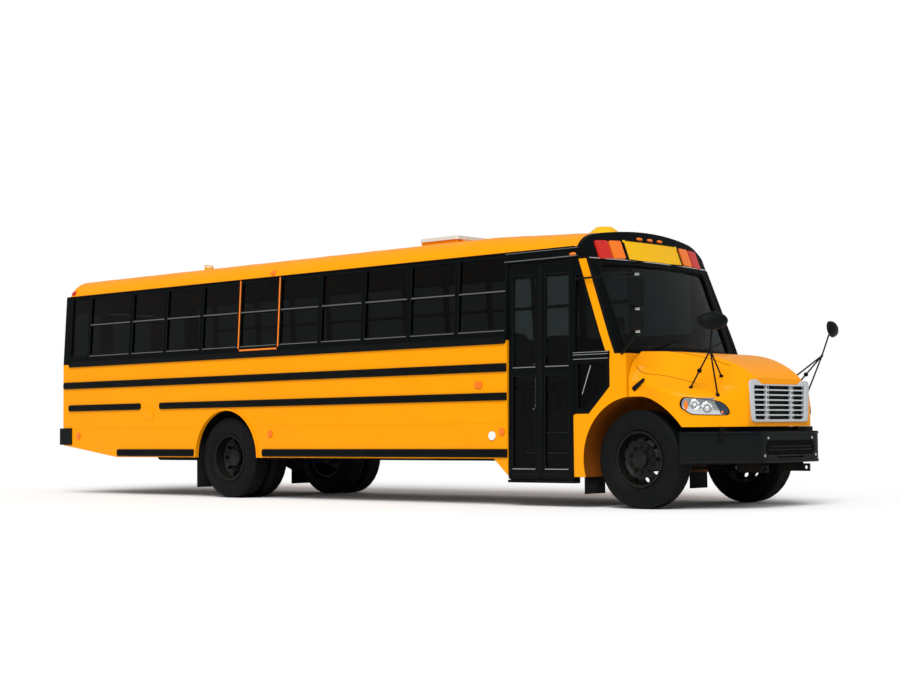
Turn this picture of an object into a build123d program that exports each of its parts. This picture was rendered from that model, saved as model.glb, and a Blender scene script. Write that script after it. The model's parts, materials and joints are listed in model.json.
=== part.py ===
from build123d import *
import os
from math import atan, cos, degrees, radians, sin, sqrt

os.makedirs("parts", exist_ok=True)

# Frame: +X forward, +Y left, +Z up, on the ground under the middle of the bus. Millimetres.

# Overall sizes
LENGTH = 11570.0
BODY_WIDTH = 2438.0
WHEELBASE = 6640.0
FRONT_OVERHANG = 1170.0
REAR_BUMPER_DEPTH = 100.0
RUNNING_GAP = 0.3
SEAM = 10.0

HALF = BODY_WIDTH / 2
FRONT_AXLE = LENGTH / 2 - FRONT_OVERHANG
REAR_AXLE = FRONT_AXLE - WHEELBASE
BUMPER_FRONT = LENGTH / 2
BODY_REAR = -LENGTH / 2 + REAR_BUMPER_DEPTH

# Body shell
WALL = 45.0
SKIRT = 530.0
SILL = 1870.0
EAVE = 2865.0
BAND_LEAN = 58.0
CROWN = 3165.0
SHOULDER_Y = 880.0
SHOULDER_DROP = 70.0
ROOF_SKIN = 45.0
ROOF_DROOP = 80.0
DROOP_LENGTH = 1700.0
REAR_ROUND = 130.0
TAIL_RISE = 170.0
TAIL_LENGTH = 1280.0
FLOOR_TOP = 1050.0
FLOOR_SKIN = 50.0
SILL_WIDTH = 70.0
SILL_COUNT = 12

# Front of the body, measured back from the front axle
DOOR_FRONT_SETBACK = 800.0
DOOR_WIDTH = 950.0
POST_WIDTH = 170.0
COWL_SETBACK = 80.0
GLASS_FOOT_SETBACK = 135.0
GLASS_FOOT_Z = 1700.0
QUARTER_TOP_WIDTH = 60.0
FRONT_BOW_RADIUS = 6000.0
CAP_BOTTOM = 2720.0
DOOR_HEAD = 40.0
LEAF_GAP = 10.0
CAP_SKIN = 60.0
PILLAR_WIDTH = 105.0
PILLAR_SKIN = 60.0
COWL_TOP = 1660.0

DOOR_TOP = CAP_BOTTOM - LEAF_GAP
DOOR_FRONT = FRONT_AXLE - DOOR_FRONT_SETBACK
DOOR_REAR = DOOR_FRONT - DOOR_WIDTH
POST_FRONT = DOOR_FRONT + POST_WIDTH
COWL_FRONT = FRONT_AXLE - COWL_SETBACK
HOOD_REAR = COWL_FRONT + SEAM
ROOF_FRONT = FRONT_AXLE - 600.0

# Wheels and arches
TYRE_RADIUS = 527.0
TYRE_WIDTH = 279.0
RIM_RADIUS = 286.0
RIM_WIDTH = 222.0
RIM_SKIN = 14.0
FLANGE_HEIGHT = 14.0
FRONT_TRACK = 2020.0
DUAL_TRACK = 1760.0
DUAL_SPACING = 330.0
REAR_ARCH_RADIUS = 620.0
FRONT_ARCH_RADIUS = 670.0
HUB_RADIUS = 110.0
HAND_HOLES = 10

# Chassis
RAIL_OUTER = 432.0
RAIL_FLANGE = 74.0
RAIL_WEB = 10.0
RAIL_BOTTOM = 700.0
RAIL_TOP = 930.0
KINGPIN_Y = 890.0
KINGPIN_RADIUS = 22.0
STEER_ARM = 170.0
SPRING_WIDTH = 70.0
SPRING_THICK = 48.0
SPRING_REACH = 650.0
AXLE_TUBE = 75.0
SPINDLE = 50.0

AXLE_Z = TYRE_RADIUS


def at_front(setback):
    """Place along the bus, given as a distance behind the front axle."""
    return FRONT_AXLE - setback


def write(piece, name):
    """Label a finished piece and write its own file."""
    piece.label = name
    export_step(piece, f"parts/{name}.step")


def bow(y, radius=FRONT_BOW_RADIUS):
    """How far the bowed front falls back at a distance from the middle."""
    return radius - sqrt(radius**2 - y**2)


PILLAR_FOOT = at_front(GLASS_FOOT_SETBACK) - bow(HALF - PILLAR_SKIN)
PILLAR_HEAD = DOOR_FRONT + QUARTER_TOP_WIDTH + PILLAR_WIDTH
FRONT_RAKE = (PILLAR_FOOT - PILLAR_HEAD) / (CAP_BOTTOM - GLASS_FOOT_Z)


def front_x(z, y=0.0):
    """Outer face of the raked, bowed front at a height and side distance."""
    return at_front(GLASS_FOOT_SETBACK) - FRONT_RAKE * (z - GLASS_FOOT_Z) - bow(y)


def skin_y(z):
    """Outer face of the body side at a height."""
    return HALF - BAND_LEAN * max(0.0, z - SILL) / (EAVE - SILL)


def rod(start, end, radius):
    """Round bar between two points, added to the piece being built."""
    run = Vector(*end) - Vector(*start)
    with BuildSketch(Plane(origin=start, z_dir=run)) as disc:
        Circle(radius)
    extrude(disc.sketch, amount=run.length)


def bar(low, high, mode=Mode.ADD):
    """Plain block between two corners, added to the piece being built."""
    middle = tuple((a + b) / 2 for a, b in zip(low, high))
    with Locations(middle):
        Box(*(abs(b - a) for a, b in zip(low, high)), mode=mode)


def side_slab(side, outer, inner, mode=Mode.ADD, bottom=300.0):
    """Full-length slab that follows the body side between two insets."""
    with BuildSketch(Plane.YZ.offset(BODY_REAR)) as section:
        with BuildLine():
            Polyline(
                (side * (HALF - outer), bottom),
                (side * (HALF - outer), SILL),
                (side * (HALF - BAND_LEAN - outer), EAVE),
                (side * (HALF - BAND_LEAN - inner), EAVE),
                (side * (HALF - inner), SILL),
                (side * (HALF - inner), bottom),
                close=True,
            )
        make_face()
    extrude(section.sketch, amount=COWL_FRONT - BODY_REAR, mode=mode)


def keep_outline(outline, *args):
    """Keep only what lies inside an outline drawn in side view."""
    with BuildSketch(Plane.XZ) as view:
        outline(*args)
    extrude(view.sketch, amount=BODY_WIDTH, both=True, mode=Mode.INTERSECT)


def roof_face(inset, drop=0.0):
    """Closed roof section above the eave, inset from the outer skin."""
    top = CROWN - inset - drop
    shoulder = (SHOULDER_Y - inset * 0.3, top - SHOULDER_DROP)
    eave_y = HALF - BAND_LEAN - inset
    with BuildLine() as edge:
        crown = ThreePointArc((-shoulder[0], shoulder[1]), (0, top), shoulder)
        TangentArc(crown @ 1, (eave_y, EAVE), tangent=crown % 1)
        Line((eave_y, EAVE), (-eave_y, EAVE))
        TangentArc(crown @ 0, (-eave_y, EAVE), tangent=(crown % 0) * -1)
    make_face(edge.edges())


def roof_volume(inset, mode=Mode.ADD):
    """Roof space with its drooping front, inset from the outer skin."""
    droop_start = ROOF_FRONT - DROOP_LENGTH
    with BuildSketch(Plane.YZ.offset(BODY_REAR + inset)) as rear:
        roof_face(inset)
    extrude(rear.sketch, amount=droop_start - BODY_REAR - inset, mode=mode)
    with BuildSketch(Plane.YZ.offset(droop_start)) as level:
        roof_face(inset)
    with BuildSketch(Plane.YZ.offset(ROOF_FRONT)) as drooped:
        roof_face(inset, ROOF_DROOP)
    loft([level.sketch.face(), drooped.sketch.face()], mode=mode)


RAKE_UP = Vector(-FRONT_RAKE, 0, 1).normalized()
RAKE_OUT = Vector(1, 0, FRONT_RAKE).normalized()
FRONT_SECTION = Plane(origin=(front_x(GLASS_FOOT_Z), 0, GLASS_FOOT_Z), x_dir=(0, -1, 0), z_dir=RAKE_UP)
FRONT_FACE = Plane(origin=(front_x(GLASS_FOOT_Z), 0, GLASS_FOOT_Z), x_dir=(0, 1, 0), z_dir=RAKE_OUT)
SLANT = 1 / RAKE_UP.Z


def front_skin(outer, inner, mode=Mode.ADD):
    """Raked and bowed slab of the front between two insets."""
    reach = HALF + 20
    drop = bow(reach)
    with BuildSketch(FRONT_SECTION) as section:
        with BuildLine():
            face = ThreePointArc((-reach, -outer - drop), (0, -outer), (reach, -outer - drop))
            back = ThreePointArc((-reach, -inner - drop), (0, -inner), (reach, -inner - drop))
            Line(face @ 0, back @ 0)
            Line(face @ 1, back @ 1)
        make_face()
    extrude(section.sketch, amount=1700, both=True, mode=mode)


def cut_front(inset):
    """Take away all that stands ahead of the raked front, at an inset."""
    front_skin(-900, inset, mode=Mode.SUBTRACT)


# Frame rails with cross members, bumper brackets and tow eyes
RAIL_FRONT = FRONT_AXLE + 900.0
RAIL_REAR = BODY_REAR + 60.0
CROSS_SETBACKS = (-850.0, 1250.0, 2900.0, 4500.0, 5700.0, 7450.0, 9500.0)
BRACKET_TOP = 800.0
BUMPER_BACK = BUMPER_FRONT - 70.0
EYE_RADIUS = 21.0
EYE_SKIN = 24.0
EYE_Z = 420.0
TAIL_EYE_Z = 600.0
EYE_FRONT = BUMPER_FRONT - 20.0
EYE_REAR = BODY_REAR - 60.0
HINGE_AHEAD = 1000.0
BUMPER_LOW = 480.0
BUMPER_HIGH = 815.0
HOOD_HINGE_Z = BUMPER_HIGH + 32.0
HOOD_HINGE_Y = 380.0
HINGE_EYE = 18.0
PIN_RADIUS = 12.0
EAR_SKIN = 20.0
with BuildPart() as frame_rails:
    for side in (1, -1):
        with BuildSketch(Plane.YZ.offset(RAIL_REAR)):
            with Locations((side * (RAIL_OUTER - RAIL_FLANGE / 2), (RAIL_TOP + RAIL_BOTTOM) / 2)):
                Rectangle(RAIL_FLANGE, RAIL_TOP - RAIL_BOTTOM)
            with Locations((side * (RAIL_OUTER - RAIL_FLANGE / 2 - RAIL_WEB), (RAIL_TOP + RAIL_BOTTOM) / 2)):
                Rectangle(RAIL_FLANGE, RAIL_TOP - RAIL_BOTTOM - 2 * RAIL_WEB, mode=Mode.SUBTRACT)
        extrude(amount=RAIL_FRONT - RAIL_REAR)
        bar(
            (RAIL_FRONT - 200, side * (RAIL_OUTER - RAIL_WEB), RAIL_BOTTOM),
            (BUMPER_BACK, side * RAIL_OUTER, BRACKET_TOP),
        )
        with BuildSketch(Plane.XZ.offset(-side * RAIL_OUTER)):
            with BuildLine():
                Polyline(
                    (RAIL_FRONT - 200, RAIL_BOTTOM + 20),
                    (RAIL_FRONT - 120, EYE_Z - EYE_RADIUS * 2),
                    (EYE_FRONT, EYE_Z - EYE_RADIUS * 2),
                    (EYE_FRONT, EYE_Z + EYE_RADIUS * 2),
                    (BUMPER_BACK - 30, EYE_Z + EYE_RADIUS * 2),
                    (RAIL_FRONT, RAIL_BOTTOM + 20),
                    close=True,
                )
            make_face()
            with BuildLine():
                Polyline(
                    (RAIL_REAR + 300, RAIL_BOTTOM + 20),
                    (RAIL_REAR + 40, RAIL_BOTTOM + 20),
                    (RAIL_REAR, RAIL_BOTTOM - 20),
                    (EYE_REAR, TAIL_EYE_Z + EYE_RADIUS * 2),
                    (EYE_REAR, TAIL_EYE_Z - EYE_RADIUS * 2),
                    (EYE_REAR + 150, TAIL_EYE_Z - EYE_RADIUS * 2),
                    close=True,
                )
            make_face()
            with Locations((EYE_FRONT - 2 * EYE_RADIUS, EYE_Z), (EYE_REAR + 2 * EYE_RADIUS, TAIL_EYE_Z)):
                Circle(EYE_RADIUS, mode=Mode.SUBTRACT)
        extrude(amount=side * EYE_SKIN)
        with BuildSketch(Plane.XZ.offset(-side * RAIL_OUTER)):
            with Locations((FRONT_AXLE + HINGE_AHEAD, HOOD_HINGE_Z)):
                Circle(HINGE_EYE)
            with Locations((FRONT_AXLE + HINGE_AHEAD, (HOOD_HINGE_Z + RAIL_BOTTOM + 40) / 2)):
                Rectangle(2 * HINGE_EYE, HOOD_HINGE_Z - RAIL_BOTTOM - 40)
        extrude(amount=side * EYE_SKIN)
        rod(
            (FRONT_AXLE + HINGE_AHEAD, side * RAIL_OUTER, HOOD_HINGE_Z),
            (FRONT_AXLE + HINGE_AHEAD, side * (HOOD_HINGE_Y - 8), HOOD_HINGE_Z),
            PIN_RADIUS,
        )
    for setback in CROSS_SETBACKS:
        bar(
            (at_front(setback) - 40, -RAIL_OUTER + RAIL_WEB, RAIL_BOTTOM + 40),
            (at_front(setback) + 40, RAIL_OUTER - RAIL_WEB, RAIL_TOP - 40),
        )
write(frame_rails.part, "frame_rails")

# Front axle: a dropped beam with an eye at each end for the kingpin
BEAM_HALF = 45.0
BEAM_DROP = 90.0
EYE_HALF = 62.0
EYE_FLAT = 75.0
SEAT_Z = AXLE_Z + 20.0
with BuildPart() as front_axle:
    with BuildSketch(Plane.YZ.offset(FRONT_AXLE - BEAM_HALF)):
        with BuildLine():
            Polyline(
                (-KINGPIN_Y, AXLE_Z + EYE_HALF),
                (-KINGPIN_Y + EYE_FLAT, AXLE_Z + EYE_HALF),
                (-RAIL_OUTER - 130, SEAT_Z),
                (RAIL_OUTER + 130, SEAT_Z),
                (KINGPIN_Y - EYE_FLAT, AXLE_Z + EYE_HALF),
                (KINGPIN_Y, AXLE_Z + EYE_HALF),
                (KINGPIN_Y, AXLE_Z - EYE_HALF),
                (KINGPIN_Y - EYE_FLAT, AXLE_Z - EYE_HALF),
                (RAIL_OUTER + 130, SEAT_Z - BEAM_DROP - 20),
                (-RAIL_OUTER - 130, SEAT_Z - BEAM_DROP - 20),
                (-KINGPIN_Y + EYE_FLAT, AXLE_Z - EYE_HALF),
                (-KINGPIN_Y, AXLE_Z - EYE_HALF),
                close=True,
            )
        make_face()
    extrude(amount=2 * BEAM_HALF)
    for side in (1, -1):
        with Locations((FRONT_AXLE, side * KINGPIN_Y, AXLE_Z)):
            Cylinder(BEAM_HALF, 2 * EYE_HALF)
            Cylinder(KINGPIN_RADIUS + RUNNING_GAP, 4 * EYE_HALF, mode=Mode.SUBTRACT)
write(front_axle.part, "front_axle")

# Steering knuckles: yoke, kingpin, spindle and a steering arm that points back
YOKE_HALF = 105.0
ARM_Z = AXLE_Z - YOKE_HALF + 15
BALL_RADIUS = 16.0
SPINDLE_END = FRONT_TRACK / 2 + 60.0
for name, side in (("knuckle_left", 1), ("knuckle_right", -1)):
    with BuildPart() as knuckle:
        for up in (1, -1):
            inner_z = AXLE_Z + up * (EYE_HALF + RUNNING_GAP)
            bar(
                (FRONT_AXLE - 40, side * (KINGPIN_Y - 40), inner_z),
                (FRONT_AXLE + 40, side * (KINGPIN_Y + 90), AXLE_Z + up * YOKE_HALF),
            )
        bar(
            (FRONT_AXLE - 40, side * (KINGPIN_Y + 55), AXLE_Z - YOKE_HALF),
            (FRONT_AXLE + 40, side * (KINGPIN_Y + 90), AXLE_Z + YOKE_HALF),
        )
        rod(
            (FRONT_AXLE, side * KINGPIN_Y, AXLE_Z - YOKE_HALF),
            (FRONT_AXLE, side * KINGPIN_Y, AXLE_Z + YOKE_HALF),
            KINGPIN_RADIUS,
        )
        rod(
            (FRONT_AXLE, side * (KINGPIN_Y + 80), AXLE_Z),
            (FRONT_AXLE, side * SPINDLE_END, AXLE_Z),
            SPINDLE,
        )
        bar(
            (FRONT_AXLE - STEER_ARM - 32, side * KINGPIN_Y - 20, ARM_Z - 15),
            (FRONT_AXLE - 30, side * KINGPIN_Y + 20, ARM_Z + 15),
        )
        with Locations((FRONT_AXLE - STEER_ARM, side * KINGPIN_Y, ARM_Z)):
            Cylinder(BALL_RADIUS + RUNNING_GAP, 100, mode=Mode.SUBTRACT)
    write(knuckle.part, name)

# Tie rod below the two steering arms, with a ball stud up into each
ROD_RADIUS = 18.0
ROD_Z = ARM_Z - 15 - RUNNING_GAP - ROD_RADIUS
with BuildPart() as tie_rod:
    rod(
        (FRONT_AXLE - STEER_ARM, -KINGPIN_Y - 20, ROD_Z),
        (FRONT_AXLE - STEER_ARM, KINGPIN_Y + 20, ROD_Z),
        ROD_RADIUS,
    )
    for side in (1, -1):
        rod(
            (FRONT_AXLE - STEER_ARM, side * KINGPIN_Y, ROD_Z),
            (FRONT_AXLE - STEER_ARM, side * KINGPIN_Y, ARM_Z + 20),
            BALL_RADIUS,
        )
write(tie_rod.part, "tie_rod")

# Rear axle: a banjo housing, two tubes and a spindle at each end
BANJO_RADIUS = 190.0
TUBE_END = DUAL_TRACK / 2 - DUAL_SPACING / 2 - TYRE_WIDTH / 2 + 5
HUB_END = DUAL_TRACK / 2 + 150.0
with BuildPart() as rear_axle:
    rod((REAR_AXLE, -TUBE_END, AXLE_Z), (REAR_AXLE, TUBE_END, AXLE_Z), AXLE_TUBE)
    rod((REAR_AXLE, -HUB_END, AXLE_Z), (REAR_AXLE, HUB_END, AXLE_Z), SPINDLE)
    with BuildSketch(Plane.YZ.offset(REAR_AXLE - 110)):
        with Locations((0, AXLE_Z)):
            Circle(BANJO_RADIUS - 40)
    with BuildSketch(Plane.YZ.offset(REAR_AXLE)):
        with Locations((0, AXLE_Z)):
            Circle(BANJO_RADIUS)
    with BuildSketch(Plane.YZ.offset(REAR_AXLE + 120)):
        with Locations((0, AXLE_Z)):
            Circle(BANJO_RADIUS - 60)
    loft(ruled=True)
    rod((REAR_AXLE + 100, 0, AXLE_Z), (REAR_AXLE + 260, 0, AXLE_Z), 60)
write(rear_axle.part, "rear_axle")

# Leaf springs: a bowed leaf pack under each rail with a hanger at each end
with BuildPart() as leaf_springs:
    for axle, seat in ((FRONT_AXLE, SEAT_Z), (REAR_AXLE, AXLE_Z + AXLE_TUBE)):
        for side in (1, -1):
            inner_face = side * (RAIL_OUTER - RAIL_FLANGE / 2) - SPRING_WIDTH / 2
            lift = RAIL_BOTTOM - seat - SPRING_THICK - 22
            with BuildSketch(Plane.XZ.offset(-inner_face)):
                with BuildLine():
                    low = ThreePointArc(
                        (axle - SPRING_REACH, seat + lift), (axle, seat), (axle + SPRING_REACH, seat + lift)
                    )
                    top = ThreePointArc(
                        (axle - SPRING_REACH, seat + lift + SPRING_THICK),
                        (axle, seat + SPRING_THICK),
                        (axle + SPRING_REACH, seat + lift + SPRING_THICK),
                    )
                    Line(low @ 0, top @ 0)
                    Line(low @ 1, top @ 1)
                make_face()
            extrude(amount=-SPRING_WIDTH)
            for end in (-1, 1):
                bar(
                    (axle + end * (SPRING_REACH - 60), inner_face, seat + lift + 10),
                    (axle + end * (SPRING_REACH + 20), inner_face + SPRING_WIDTH, RAIL_BOTTOM),
                )
write(leaf_springs.part, "leaf_springs")

# Engine and gearbox as one plain block, held between the rails
ENGINE_HALF = 290.0
ENGINE_TOP = 1330.0
ENGINE_BOTTOM = 640.0
GEARBOX_END = at_front(1180.0)
SHAFT_Z = AXLE_Z
SHAFT_RADIUS = 48.0
with BuildPart() as engine_block:
    bar((COWL_FRONT + 20, -ENGINE_HALF, ENGINE_BOTTOM), (at_front(-620), ENGINE_HALF, ENGINE_TOP))
    bar((GEARBOX_END, -200, SHAFT_Z - 90), (COWL_FRONT + 20, 200, FLOOR_TOP - FLOOR_SKIN - 90))
    for side in (1, -1):
        bar(
            (at_front(-250), side * ENGINE_HALF, RAIL_BOTTOM + 20),
            (at_front(-80), side * (RAIL_OUTER - RAIL_FLANGE), RAIL_BOTTOM + 120),
        )
write(engine_block.part, "engine_block")

# Radiator behind the grille, standing between the rails
RADIATOR_TOP = 1270.0
with BuildPart() as radiator:
    core = RAIL_OUTER - RAIL_FLANGE
    bar((at_front(-700), -core, RAIL_BOTTOM + 40), (at_front(-775), core, RADIATOR_TOP))
    bar((at_front(-700), -RAIL_OUTER, RAIL_TOP), (at_front(-775), RAIL_OUTER, RADIATOR_TOP))
write(radiator.part, "radiator")

# Propeller shaft from the gearbox to the rear axle
with BuildPart() as driveline:
    rod((GEARBOX_END, 0, SHAFT_Z), (REAR_AXLE + 260, 0, AXLE_Z), SHAFT_RADIUS)
write(driveline.part, "driveline")

# Fuel tank between the rails behind the rear axle
TANK_LENGTH = 1400.0
TANK_FRONT = REAR_AXLE - 1150.0
with BuildPart() as fuel_tank:
    with BuildSketch(Plane.YZ.offset(TANK_FRONT - TANK_LENGTH)):
        with Locations((0, (RAIL_BOTTOM - 230 + RAIL_TOP - 60) / 2)):
            RectangleRounded(2 * (RAIL_OUTER - RAIL_FLANGE), RAIL_TOP - 60 - RAIL_BOTTOM + 230, 60)
    extrude(amount=TANK_LENGTH)
write(fuel_tank.part, "fuel_tank")

# Exhaust: pipe, silencer and a tail pipe that leaves ahead of the left rear wheel
PIPE_RADIUS = 50.0
MUFFLER_RADIUS = 130.0
PIPE_Y = RAIL_OUTER + 190.0
PIPE_Z = RAIL_BOTTOM - 40.0
MUFFLER_FRONT = at_front(3200.0)
MUFFLER_REAR = at_front(4400.0)
with BuildPart() as exhaust:
    rod((MUFFLER_REAR, PIPE_Y, PIPE_Z), (MUFFLER_FRONT, PIPE_Y, PIPE_Z), MUFFLER_RADIUS)
    with BuildLine() as tail:
        FilletPolyline(
            (MUFFLER_REAR + 20, PIPE_Y, PIPE_Z),
            (MUFFLER_REAR - 450, PIPE_Y, PIPE_Z),
            (MUFFLER_REAR - 450, HALF - 60, PIPE_Z - 150),
            radius=200,
        )
    with BuildSketch(Plane(origin=tail.line @ 0, z_dir=tail.line % 0)):
        Circle(PIPE_RADIUS)
    sweep()
    rod((MUFFLER_FRONT - 20, PIPE_Y, PIPE_Z), (at_front(1450), PIPE_Y, PIPE_Z), PIPE_RADIUS)
    for place in (MUFFLER_FRONT - 150, MUFFLER_REAR + 150):
        bar((place - 20, RAIL_OUTER, PIPE_Z), (place + 20, PIPE_Y, PIPE_Z + 100))
write(exhaust.part, "exhaust")

# Wheels: disc rims with hand holes, and plain tyres with rounded shoulders
DISC_OFFSET = 62.0
HAND_HOLE_RADIUS = 26.0
HAND_HOLE_CIRCLE = 205.0


def wheel_plane(axle, y, side):
    """Plane whose normal points outboard along a wheel's axis."""
    return Plane(origin=(axle, y, AXLE_Z), x_dir=(1, 0, 0), z_dir=(0, side, 0))


def tyre(axle, y):
    """Ring of rubber with straight sidewalls and rounded shoulders."""
    bead = RIM_RADIUS + RUNNING_GAP
    half_bead = RIM_WIDTH / 2 - RIM_SKIN - RUNNING_GAP
    heel = RIM_RADIUS + FLANGE_HEIGHT + 2
    widest = TYRE_WIDTH / 2
    with BuildSketch(Plane(origin=(axle, y, AXLE_Z), x_dir=(0, 1, 0), z_dir=(1, 0, 0))) as section:
        with BuildLine() as half:
            Line((0, bead), (half_bead, bead))
            Line((half_bead, bead), (half_bead, heel))
            ThreePointArc((half_bead, heel), (widest, bead + 105), (widest - 22, TYRE_RADIUS - 22))
            ThreePointArc(
                (widest - 22, TYRE_RADIUS - 22), (widest - 30, TYRE_RADIUS - 7), (widest - 46, TYRE_RADIUS)
            )
            Line((widest - 46, TYRE_RADIUS), (0, TYRE_RADIUS))
            mirror(half.line, about=Plane.YZ)
        make_face()
    revolve(section.sketch, axis=Axis((axle, y, AXLE_Z), (0, 1, 0)))


def rim(axle, y, out):
    """Barrel with flanges and a dished disc, its outside facing along out."""
    inner = RIM_RADIUS - RIM_SKIN
    flange = RIM_RADIUS + FLANGE_HEIGHT
    edge = RIM_WIDTH / 2
    face = DISC_OFFSET
    with BuildSketch(Plane(origin=(axle, y, AXLE_Z), x_dir=(0, out, 0), z_dir=(out, 0, 0))) as section:
        with BuildLine():
            Polyline(
                (face - 14, SPINDLE + RUNNING_GAP),
                (face, SPINDLE + RUNNING_GAP),
                (face, HUB_RADIUS + 60),
                (face + 22, HUB_RADIUS + 95),
                (face - 20, inner),
                (edge, inner + 6),
                (edge, flange),
                (edge - RIM_SKIN, flange),
                (edge - RIM_SKIN, RIM_RADIUS),
                (RIM_SKIN - edge, RIM_RADIUS),
                (RIM_SKIN - edge, flange),
                (-edge, flange),
                (-edge, inner + 6),
                (face - 40, inner - 4),
                (face + 4, HUB_RADIUS + 92),
                (face - 14, HUB_RADIUS + 66),
                close=True,
            )
        make_face()
    revolve(section.sketch, axis=Axis((axle, y, AXLE_Z), (0, 1, 0)))


def hand_holes(axle, y, out):
    """Ring of hand holes through a disc."""
    with BuildSketch(wheel_plane(axle, y, out)) as ring:
        with PolarLocations(HAND_HOLE_CIRCLE + 22, HAND_HOLES):
            Circle(HAND_HOLE_RADIUS)
    extrude(ring.sketch, amount=RIM_WIDTH / 2, mode=Mode.SUBTRACT)


def hub(axle, start, end, radius):
    """Hub turning on its spindle, closed by a domed cap outboard."""
    with BuildSketch(Plane(origin=(axle, start, AXLE_Z), z_dir=(0, end - start, 0))) as ring:
        Circle(radius)
        Circle(SPINDLE + RUNNING_GAP, mode=Mode.SUBTRACT)
    extrude(ring.sketch, amount=abs(end - start))


for name, side in (("front_left", 1), ("front_right", -1)):
    middle = side * FRONT_TRACK / 2
    with BuildPart() as tyre_piece:
        tyre(FRONT_AXLE, middle)
    write(tyre_piece.part, f"{name}_tyre")
    with BuildPart() as rim_piece:
        rim(FRONT_AXLE, middle, side)
        hand_holes(FRONT_AXLE, middle, side)
        hub(FRONT_AXLE, middle - side * 25, SPINDLE_END * side + side * 3, HUB_RADIUS)
        rod(
            (FRONT_AXLE, side * (SPINDLE_END + 3), AXLE_Z),
            (FRONT_AXLE, side * (SPINDLE_END + 40), AXLE_Z),
            HUB_RADIUS - 20,
        )
    write(rim_piece.part, f"{name}_rim")

for name, side in (("rear_left", 1), ("rear_right", -1)):
    outer = side * (DUAL_TRACK + DUAL_SPACING) / 2
    inner = side * (DUAL_TRACK - DUAL_SPACING) / 2
    with BuildPart() as tyre_piece:
        tyre(REAR_AXLE, outer)
        tyre(REAR_AXLE, inner)
    write(tyre_piece.part, f"{name}_tyres")
    with BuildPart() as rim_piece:
        rim(REAR_AXLE, outer, -side)
        rim(REAR_AXLE, inner, side)
        hand_holes(REAR_AXLE, outer, -side)
        hand_holes(REAR_AXLE, inner, side)
        hub(REAR_AXLE, side * (TUBE_END + 3), side * (HUB_END + 3), HUB_RADIUS)
        rod((REAR_AXLE, side * (HUB_END + 3), AXLE_Z), (REAR_AXLE, side * (HUB_END + 30), AXLE_Z), HUB_RADIUS)
    write(rim_piece.part, f"{name}_rims")

# Windows of each side: columns are rear edge, front edge, bottom, top
WINDOW_COUNT = 9
WIDE_WINDOW = 990.0
REAR_PANE = 400.0
CORNER_POST = 170.0
MULLION = 60.0
PANE_BOTTOM = 1985.0
PANE_SPLIT = 2430.0
SASH = 36.0
PANE_TOP = 2815.0
PANE_ROUND = 30.0
PANE_SKIN = 6.0
PANE_INSET = 18.0
WIDE_REAR = BODY_REAR + CORNER_POST + REAR_PANE + MULLION / 2
WIDE_FRONT = WIDE_REAR + WIDE_WINDOW
WINDOW_PITCH = (DOOR_REAR - WIDE_FRONT) / WINDOW_COUNT
BAYS = [(WIDE_FRONT + i * WINDOW_PITCH, WIDE_FRONT + (i + 1) * WINDOW_PITCH) for i in range(WINDOW_COUNT)]
BAYS.append((WIDE_REAR, WIDE_FRONT))

SIDE_PANES = [(BODY_REAR + CORNER_POST, BODY_REAR + CORNER_POST + REAR_PANE, PANE_BOTTOM, PANE_TOP)]
for rear, front in BAYS:
    SIDE_PANES.append((rear + MULLION / 2, front - MULLION / 2, PANE_BOTTOM, PANE_SPLIT - SASH / 2))
    SIDE_PANES.append((rear + MULLION / 2, front - MULLION / 2, PANE_SPLIT + SASH / 2, PANE_TOP))
DRIVER_PANE = (DOOR_REAR + MULLION / 2, DOOR_FRONT - MULLION, PANE_BOTTOM, PANE_TOP)


def pane_outlines(panes, shrink=0.0):
    """Rounded rectangles of a list of panes in side view."""
    for rear, front, low, high in panes:
        with Locations(((rear + front) / 2, (low + high) / 2)):
            RectangleRounded(front - rear - 2 * shrink, high - low - 2 * shrink, PANE_ROUND - shrink)


def block_outline(rear, front, low, high):
    """Rectangle in side view between two places and two heights."""
    with Locations(((rear + front) / 2, (low + high) / 2)):
        Rectangle(front - rear, high - low)


def header_outline(side):
    """Strip under the eave, from the quarter window back over the entrance door."""
    block_outline(DOOR_FRONT, ROOF_FRONT, CAP_BOTTOM, EAVE)
    if side < 0:
        block_outline(DOOR_REAR, DOOR_FRONT, DOOR_TOP + DOOR_HEAD, EAVE)


def corner_outline(points, mode=Mode.ADD):
    """Closed outline through corner points in side view."""
    with BuildLine() as edge:
        Polyline(*points, close=True)
    make_face(edge.edges(), mode=mode)


# Lower quarter panel ahead of the door, with one cut corner
QUARTER_LOW = 1020.0
QUARTER_TOP = 1630.0
QUARTER_FRONT = at_front(300.0)
QUARTER_CUT = 290.0
QUARTER_HEAD = 6.0
QUARTER_REAR = DOOR_FRONT + 10.0


def quarter_outline(shrink=0.0, mode=Mode.ADD):
    """Lower quarter panel in side view."""
    cut = QUARTER_CUT - shrink * 0.4
    corner_outline(
        [
            (QUARTER_REAR + shrink, QUARTER_LOW + shrink),
            (QUARTER_FRONT - shrink - cut, QUARTER_LOW + shrink),
            (QUARTER_FRONT - shrink, QUARTER_LOW + shrink + cut),
            (QUARTER_FRONT - shrink, QUARTER_TOP - shrink),
            (QUARTER_REAR + shrink, QUARTER_TOP - shrink),
        ],
        mode,
    )


def pillar_edge(z):
    """Front edge of the windshield pillar in side view."""
    return front_x(z, HALF - PILLAR_SKIN)


def quarter_window(shrink=0.0):
    """Upper quarter window in side view, between the door post and the pillar."""
    low = COWL_TOP + shrink
    high = CAP_BOTTOM - QUARTER_HEAD * shrink
    rear = DOOR_FRONT + shrink
    corner_outline(
        [
            (rear, low),
            (pillar_edge(low) - PILLAR_WIDTH - shrink, low),
            (pillar_edge(high) - PILLAR_WIDTH - shrink, high),
            (rear, high),
        ]
    )


# Side panels below the sill, with the rear wheel arch cut out
GUSSET = 210.0
GUSSET_LOW = 343.0
ARCH_LIP = 26.0
ARCH_PROUD = 14.0


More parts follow.
